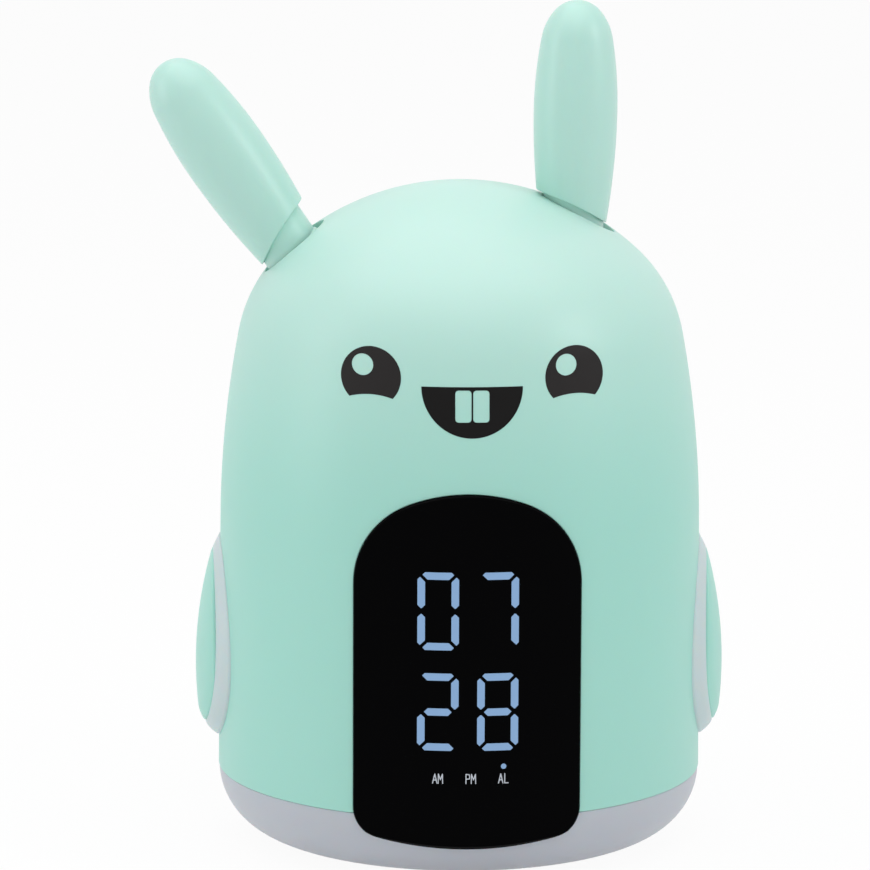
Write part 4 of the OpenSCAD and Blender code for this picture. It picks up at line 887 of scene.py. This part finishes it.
def base_room(p):
    """Distance inside the base's skin: below its rim, and outside the feet and the door."""
    xy = p[:, :2]
    room = SPLIT_Z - 0.05 - p[:, 2]
    under = p[:, 2] < UNDER_Z + 1
    for turn in range(4):
        a = math.radians(45 + 90 * turn)
        foot = (FOOT_CIRCLE_R * math.cos(a), FOOT_CIRCLE_R * math.sin(a))
        room = less(room, under, -inside_disc(xy, foot, FOOT_R + 0.1))
    return less(room, under, -inside_box(xy, DOOR_MID, DOOR_HALF, 0.2))


def milky_plastic(name, colour):
    """Milky plastic: light enters it a little, and its surface has a fine grain."""
    shader = Shader(name, colour, 0.40, Specular_IOR_Level=0.4, Subsurface_Weight=0.25,
                    Subsurface_Scale=0.004)
    shader.cloud(30.0, 0.95, 0.5)
    shader.polish(0.36, 5.0)
    shader.grain(0.3, 0.01)
    return shader.material


# Its colour is set greyer than the white plastic really is: painted shade, for the dim light that reaches
# the base from below.
milky = milky_plastic("milky plastic", (0.53, 0.555, 0.61))
base = Solid()
cut_sheet(base, base_surface, (-math.pi, math.pi), (0.0, base_surface.length - 2.0), 1.2, base_room, 0.0,
          steady(-2.0), steady(0.2), around=True)
base.piece("glowing_base", milky, "clock_body", "base_diffuser", slot="white_diffuser")


# ---- Ears -------------------------------------------------------------------
# Each ear is a hollow mint moulding with a rounded tip and a slanted, hollowed
# rim, glued on a neck that tilts on a steel pin inside the dome. The left neck carries
# an apron, which closes the slot behind it from below.
EAR_R, EAR_TIP_R, EAR_MID_R, EAR_SIDE_R, EAR_L = 10.4, 7.4, 13.7, 184.0, 51.7
EAR_TIP_A, EAR_MID_A = math.radians(48), math.radians(80)
RIM_SLOPE, RIM_ARC_R, RIM_SHARE, RIM_EDGE = math.radians(26.0), 38.5, 0.87, 0.2
NECK_LOW, NECK_HIGH = -18.0, 7.0
APRON_R, APRON_WIDTH, APRON_HALF = 15.6, 0.64, 7.3
APRON_TURN, APRON_WALL, APRON_UNDER = (-38, -93), 1.2, 0.25
tip_centre = np.array([0.0, EAR_L - EAR_TIP_R])
mid_centre = tip_centre + (EAR_TIP_R - EAR_MID_R) * np.array([math.sin(EAR_TIP_A), math.cos(EAR_TIP_A)])
upper_r = (EAR_R - mid_centre[0] - EAR_MID_R * math.sin(EAR_MID_A)) / (1 - math.sin(EAR_MID_A))
upper_centre = mid_centre + (EAR_MID_R - upper_r) * np.array([math.sin(EAR_MID_A), math.cos(EAR_MID_A)])
ear_profile = Turned(
    arc_run(tip_centre, EAR_TIP_R, 0.0, EAR_TIP_A, 0.1),
    arc_run(mid_centre, EAR_MID_R, EAR_TIP_A, EAR_MID_A, 0.1),
    arc_run(upper_centre, upper_r, EAR_MID_A, math.pi / 2, 0.1),
    arc_run((EAR_R - EAR_SIDE_R, upper_centre[1]), EAR_SIDE_R, math.pi / 2, math.pi / 2 + 0.22, 0.1),
)
rim_drop = math.sqrt(RIM_ARC_R**2 - (EAR_R * RIM_SHARE / math.cos(RIM_SLOPE)) ** 2)
rim_centre = turned_y((0.0, -rim_drop), RIM_SLOPE)


def rim_height(x):
    """Height of the hollowed rim at a place across the ear: the top of a lying cylinder."""
    return rim_centre[1] + np.sqrt(RIM_ARC_R**2 - (x - rim_centre[0]) ** 2)


def full_turn(columns):
    """That many angles round a full turn."""
    return np.arange(columns) / columns * 2 * math.pi


def ear_grid(columns=144):
    """Points of an ear as a grid: round the axis, and from the tip to the neck.

    Each column follows the profile down to the rim, turns the rim's edge with a small
    arc and goes in along the hollow to the neck. A column's radius at the rim is found
    by a few rounds of r = profile(height of the rim at r cos a).
    """
    a = full_turn(columns)
    s = np.full(columns, EAR_L)
    for _ in range(8):
        r, z = ear_profile.profile(s)[:2]
        s = s + (z - rim_height(r * np.cos(a)))
    rows = np.linspace(0, 1, 90)[1:] ** 0.9
    side = ear_profile.profile(rows[:, None] * (s - RIM_EDGE))[:2]
    rim_r = ear_profile.profile(s)[0]
    low_r, low_z = side[0][-1], side[1][-1]
    turn = np.linspace(0, math.pi / 2, 5)[1:, None]
    edge_r = low_r - RIM_EDGE * (1 - np.cos(turn))
    fall = (low_z - rim_height((rim_r - RIM_EDGE) * np.cos(a)))
    edge_z = low_z - fall * np.sin(turn)
    inward = np.linspace(0, 1, 6)[1:, None]
    floor_r = edge_r[-1] + inward * (NECK_R - 0.1 - edge_r[-1])
    floor_z = rim_height(floor_r * np.cos(a))
    r, z = np.vstack([side[0], edge_r, floor_r]), np.vstack([side[1], edge_z, floor_z])
    return np.stack([r * np.cos(a), r * np.sin(a), z], -1)


def neck_grid(columns=96):
    """Points of a neck as a grid: a straight wall with an eased lower edge and closed ends."""
    a = full_turn(columns)
    rows = [(0.02, NECK_HIGH), (NECK_R - 0.4, NECK_HIGH), (NECK_R, NECK_HIGH - 0.4), (NECK_R, 0.0),
            (NECK_R, NECK_LOW + 0.5), (NECK_R - 0.15, NECK_LOW + 0.15), (NECK_R - 0.5, NECK_LOW),
            (0.02, NECK_LOW)]
    r, z = (np.array(v)[:, None] for v in zip(*rows))
    return np.stack([r * np.cos(a), r * np.sin(a), np.broadcast_to(z, (len(rows), columns))], -1)


def apron_grid():
    """Points of the left neck's apron: rows round its hinge, each a closed ring of both its sides.

    The outer side lies at APRON_R times the root of 1 - (y / (APRON_R * APRON_WIDTH))^2 from
    the hinge, but stays under the dome: the reach is halved down between two bounds to the
    place where it meets the dome's surface, drawn in a little.
    """
    y = np.linspace(-APRON_HALF, APRON_HALF, 25)
    turn = np.radians(np.linspace(*APRON_TURN, 36))[:, None]
    dome = dome_rows[:, :2] - APRON_UNDER * dome_rows[:, 2:]
    low = np.full((36, 25), 3.0)
    high = np.broadcast_to(APRON_R * np.sqrt(1 - (y / (APRON_R * APRON_WIDTH)) ** 2), low.shape)

    def ring(reach):
        return np.stack([HINGE[0] + reach * np.sin(turn), np.broadcast_to(y, reach.shape),
                         HINGE[1] + reach * np.cos(turn)], -1)

    for _ in range(16):
        middle = (low + high) / 2
        p = on_head(ring(middle), EARS["left"])
        under = p[..., 2] < np.interp(np.hypot(p[..., 0], p[..., 1]), dome[:, 0], dome[:, 1])
        low, high = np.where(under, middle, low), np.where(under, high, middle)
    return np.concatenate([ring(low), ring(low - APRON_WALL)[:, ::-1]], axis=1)


def woven(solid, grid, flip=False, cap_start=True, cap_end=False):
    """Adds a grid of points that closes on itself across its columns, with fans over its ends."""
    rows, columns = grid.shape[:2]
    first = solid.add_points(grid.reshape(-1, 3))
    quads = grid_cells(rows - 1, columns, columns) + first
    solid.add_faces(quads[:, ::-1] if flip else quads)
    across = np.arange(columns)
    beside = (across + 1) % columns
    for wanted, row, turn in ((cap_start, 0, False), (cap_end, rows - 1, True)):
        if wanted:
            hub = solid.add_points(grid[row].mean(0)[None])
            ring = first + row * columns
            fan = np.stack([np.full(columns, hub), ring + across, ring + beside], -1)
            solid.add_faces(fan[:, ::-1] if turn != flip else fan)


def on_head(grid, ear):
    """Puts points drawn along an ear's axis in their place on the head."""
    x, y, z = grid[..., 0], grid[..., 1], grid[..., 2]
    c, s = math.cos(ear["lean"]), math.sin(ear["lean"])
    placed = np.stack([x * c + z * s + ear["root"][0], y, z * c - x * s + ear["root"][1]], -1)
    placed[..., 0] *= ear["side"]
    return placed


# The ears carry a steady share of the paler mint: painted highlight, with a little random tone in it.
ear_mint = mint_plastic("ear plastic", lambda shader: shader.noise(30.0) * 0.1 + 0.55, Coat_Weight=0.35,
                        Coat_Roughness=0.35)
for name, ear in EARS.items():
    mirrored, body = ear["side"] < 0, name + "_ear_body"
    ear_solid = Solid()
    woven(ear_solid, on_head(ear_grid(), ear), flip=mirrored)
    ear_solid.piece(name + "_ear_moulding", ear_mint, body, name + "_ear", slot="mint_shell")
    neck_solid = Solid()
    woven(neck_solid, on_head(neck_grid(), ear), flip=mirrored, cap_end=True)
    if mirrored:
        woven(neck_solid, on_head(apron_grid(), ear), cap_end=True)
    neck_solid.piece(name + "_ear_stem", ear_mint, body, name + "_ear_neck", slot="mint_shell")


# ---- Side plates and buttons --------------------------------------------------
# An egg-shaped milky plate with a rounded flank lies on each side of the body,
# and a crowned mint button fills its opening. The button's stem enters the wall.
EGG_R, EGG_BOTTOM, EGG_TOP, EGG_SIDE_R = 18.8, UNDER_Z + 24.2, UNDER_Z + 75.4, 50.0
PLATE_MID_Z, PLATE_X, PLATE_TILT = UNDER_Z + 50.0, 63.11, math.radians(2.6)
PLATE_RIM, SLIDE_GAP = 3.4, 0.2
CROWN_H, CROWN_ARC_R, CROWN_ROUND_R, CROWN_MID_Z = 3.4, 104.0, 30.0, PLATE_MID_Z - 7.5
STEM_R, STEM_END, BUTTON_EDGE, TRAVEL_ROOM = 4.2, -9.8, 0.3, 1.2


def egg_loop(inset):
    """The egg's outline in Y and Z as dense points in order, drawn in by the inset.

    A small arc at the top, a large one at the bottom and two long ones at the sides
    meet smoothly, and each keeps its centre while the outline shrinks.
    """
    low_z = EGG_BOTTOM + EGG_R
    length = EGG_TOP - low_z
    reach = EGG_SIDE_R - EGG_R
    up = (reach**2 - (EGG_SIDE_R - length) ** 2) / (2 * (EGG_SIDE_R - length))
    tip_r = length - up
    a = math.degrees(math.atan2(reach, up))
    return loop_points(
        ((0, low_z + up), tip_r - inset, -a, a), ((-reach, low_z), EGG_SIDE_R - inset, a, 90),
        ((0, low_z), EGG_R - inset, 90, 270), ((reach, low_z), EGG_SIDE_R - inset, -90, -a), step=0.25,
    )


def evenly(loop, count):
    """The same number of points on a closed outline, at equal steps of its length from its top."""
    closed = np.vstack([loop, loop[:1]])
    lengths = np.concatenate([[0], np.cumsum(np.linalg.norm(np.diff(closed, axis=0), axis=1))])
    at = np.arange(count) / count * lengths[-1]
    return np.stack([np.interp(at, lengths, closed[:, k]) for k in (0, 1)], -1)


def plate_face_r(z):
    """Radius of the plate's outer face, which leans back a little."""
    return PLATE_X - (z - PLATE_MID_Z) * math.tan(PLATE_TILT)


def side_point(y, z, share, side):
    """A point over the body's side: share of the way from the wall to the plate's face."""
    reach = wall_r(z) + share * (plate_face_r(z) - wall_r(z))
    return np.stack([side * np.sqrt(reach**2 - y**2), y, z], -1)


def plate_grid(side, columns=160):
    """Points of a side plate: from the wall over the sloping flank into the opening.

    The flank rises to the plate's face as 1 - 0.86 (1 - u)^k, where u goes from 0 at the
    outline to 1 at the opening. It is straight (k = 1) at the top and rounder below.
    """
    opening = PLATE_RIM + SLIDE_GAP - 0.08
    lines = [side_point(*evenly(egg_loop(0.0), columns).T, 0.0, side)]
    for u in np.linspace(0, 1, 14):
        y, z = evenly(egg_loop(u * (opening - 0.12)), columns).T
        power = 1.0 + 0.6 * np.clip((EGG_TOP - z) / 20.0, 0, 1)
        lines.append(side_point(y, z, 1 - 0.86 * (1 - u) ** power, side))
    for inset, share in ((opening - 0.03, 0.98), (opening, 0.93), (opening, 0.0)):
        lines.append(side_point(*evenly(egg_loop(inset), columns).T, share, side))
    return np.array(lines)


def crown_x(y, z):
    """Distance of the button's face from the axis: an arc, itself carried round a standing line."""
    arc = CROWN_ROUND_R - CROWN_ARC_R + np.sqrt(CROWN_ARC_R**2 - (z - CROWN_MID_Z) ** 2)
    return PLATE_X + CROWN_H - CROWN_ROUND_R + np.sqrt(arc**2 - y**2)


def edge_fall(inset, z):
    """How far the button's face falls near its edge.

    It falls as the square of the nearness to the edge, within a border that widens
    towards the bottom, and by a small quarter circle at the edge itself.
    """
    low = np.clip((EGG_TOP - z) / (EGG_TOP - EGG_BOTTOM), 0, 1) ** 2
    soft = np.clip(1 - inset / (1.2 + 3.8 * low), 0, 1)
    sharp = np.clip(1 - inset / BUTTON_EDGE, 0, 1)
    return (0.1 + 0.95 * low) * soft**2 + BUTTON_EDGE * (1 - np.sqrt(1 - sharp**2))


def button_grid(side, columns=160):
    """Points of a button: rings from the middle of its crown to its edge, and down its side."""
    rim = evenly(egg_loop(PLATE_RIM + SLIDE_GAP), columns)
    middle = np.array([0.0, CROWN_MID_Z])
    lines = []
    for share in 1 - np.linspace(1, 0, 40)[1:] ** 1.8:
        y, z = (middle + share * (rim - middle)).T
        x = crown_x(y, z) - edge_fall(inside_loop(np.stack([y, z], -1), rim, 6.0), z)
        lines.append(np.stack([side * x, y, z], -1))
    hub = np.array([0.0, PLATE_MID_Z])
    for share in (1.0, 0.8, 0.6, 0.4, 0.2, 0.02):
        y, z = (hub + share * (rim - hub)).T
        lines.append(np.stack([side * np.sqrt((wall_r(z) + TRAVEL_ROOM) ** 2 - y**2), y, z], -1))
    return np.array(lines)


def stem_grid(side, columns=48):
    """Points of a button's stem: a round bar along X with eased ends."""
    a = full_turn(columns)
    x_out, x_in = wall_r(PLATE_MID_Z) + TRAVEL_ROOM + 0.1, PLATE_X + STEM_END
    rows = [(x_out, STEM_R), (x_in + 0.4, STEM_R), (x_in + 0.1, STEM_R - 0.15), (x_in, STEM_R - 0.5)]
    return np.array([np.stack([np.full(columns, side * x), -r * np.sin(a), PLATE_MID_Z + r * np.cos(a)], -1)
                     for x, r in rows])


pale = milky_plastic("pale plate plastic", (0.60, 0.70, 0.715))
for name, side in (("right", 1), ("left", -1)):
    plate = Solid()
    woven(plate, plate_grid(side), flip=side > 0, cap_start=False)
    plate.piece(name + "_plate", pale, "clock_body", name + "_light_plate", slot="white_diffuser")
    button = Solid()
    woven(button, button_grid(side), flip=side < 0, cap_end=True)
    woven(button, stem_grid(side), flip=side > 0, cap_start=False, cap_end=True)
    button.piece(name + "_side_button", mint, name + "_button_body", name + "_button", slot="mint_shell")


# ---- Back panel and keys ------------------------------------------------------
# A thin milky panel lies flush in the shell's back, with openings for five
# round mint keys and the power socket. Each key slides in its own hole.
KEY_R, KEY_PROUD, KEY_STEM_R, KEY_STEM_END = 4.2, 1.2, 2.0, 49.65
KEYS = {"light": (0, 17), "alarm": (-13, 5), "mode": (13, 5), "up": (-13, -9), "down": (13, -9)}
SOCKET_Z, SOCKET_HALF, SOCKET_CORNER = PANEL_MID[1] - 19.5, (4.67, 1.8), 1.75


def panel_room(p):
    """Distance inside the back panel: its outline, less the key holes and the socket's slot."""
    xz = p[:, (0, 2)]
    room = inside_box(xz, PANEL_MID, (PANEL_HALF[0] - FIT_GAP, PANEL_HALF[1] - FIT_GAP), PANEL_CORNER)
    for x, z in KEYS.values():
        room = np.minimum(room, -inside_disc(xz, (x, PANEL_MID[1] + z), KEY_R + SLIDE_GAP))
    return np.minimum(room, -inside_box(xz, (0, SOCKET_Z), SOCKET_HALF, SOCKET_CORNER))


panel = Solid()
panel_rise = (body_surface.at_height(PANEL_MID[1] + 27.5), body_surface.at_height(PANEL_MID[1] - 27.5))
cut_sheet(panel, body_surface, (math.pi - 0.38, math.pi + 0.38), panel_rise, 0.6, panel_room, 0.0,
          steady(-1.3), steady(0.2))
panel.piece("back_panel", milky, "clock_body", "rear_panel", slot="white_diffuser")


def key_grid(x, z, columns=64):
    """Points of a key: a shallow domed face, an eased edge, its side, the flange and the stem."""
    top = math.sqrt(wall_r(z) ** 2 - x**2) + KEY_PROUD
    flange = math.sqrt((wall_r(z + KEY_R) - 1.3) ** 2 - (abs(x) + KEY_R + 1) ** 2) - 0.1
    rows = [(0.05, top), (1.2, top - 0.03), (2.4, top - 0.12), (KEY_R - 0.7, top - 0.28),
            (KEY_R - 0.25, top - 0.45), (KEY_R - 0.05, top - 0.75), (KEY_R, top - 1.1), (KEY_R, flange),
            (KEY_R + 1, flange), (KEY_R + 1, flange - 1), (KEY_STEM_R, flange - 1),
            (KEY_STEM_R, KEY_STEM_END)]
    a = full_turn(columns)
    return np.array([np.stack([x + r * np.cos(a), np.full(columns, y), z + r * np.sin(a)], -1)
                     for r, y in rows])


for name, (x, z) in KEYS.items():
    key = Solid()
    woven(key, key_grid(x, PANEL_MID[1] + z), cap_end=True)
    key.piece(name + "_round_key", mint, name + "_key_body", name + "_key", slot="mint_shell")


# ---- Feet, door, screws and the parts inside ----------------------------------
# These keep their exact shapes and get their own finishes: rubber feet, a milky
# battery door, plated steel, green boards and dark mouldings.
def plain_finish(name, colour, roughness, grain, depth, metallic=0.0, spread=0.15, **sockets):
    """A finish with some unevenness of colour and roughness, and a grain of that size in mm."""
    shader = Shader(name, colour, roughness, Metallic=metallic, **sockets)
    shader.cloud(grain * 12, 1 - spread, 1.0)
    shader.set("Roughness", (roughness - 0.05) + 0.1 * shader.noise(grain * 5))
    shader.grain(grain, depth, 0.6)
    return shader.material


FINISHES = {
    "rubber_grey": plain_finish("grey rubber", (0.045, 0.045, 0.048), 0.75, 0.4, 0.03),
    "white_diffuser": milky,
    "bright_steel": plain_finish("plated steel", (0.62, 0.63, 0.65), 0.28, 0.5, 0.004, metallic=1.0),
    "circuit_board": plain_finish("green board", (0.02, 0.12, 0.05), 0.45, 0.8, 0.01, spread=0.3),
    "dark_plastic": plain_finish("dark moulding", (0.03, 0.03, 0.032), 0.5, 0.4, 0.01),
    "cell_jacket": plain_finish("cell jacket", (0.10, 0.24, 0.18), 0.35, 1.0, 0.004),
    "led_white": plain_finish("lamp body", (0.80, 0.80, 0.72), 0.4, 0.5, 0.004, spread=0.05),
    "cone_paper": plain_finish("pressed paper", (0.03, 0.03, 0.03), 0.8, 0.5, 0.05),
    "magnet_iron": plain_finish("ground iron", (0.25, 0.25, 0.26), 0.4, 0.6, 0.008, metallic=1.0),
    "mint_shell": mint,
}
slots = {row["node"]: row["material_slot"] for row in frame["record"]["subparts"]}
for node, thing in frame["nodes"].items():
    if not thing.hide_render:
        thing.data.materials.clear()
        thing.data.materials.append(FINISHES[slots[node]])
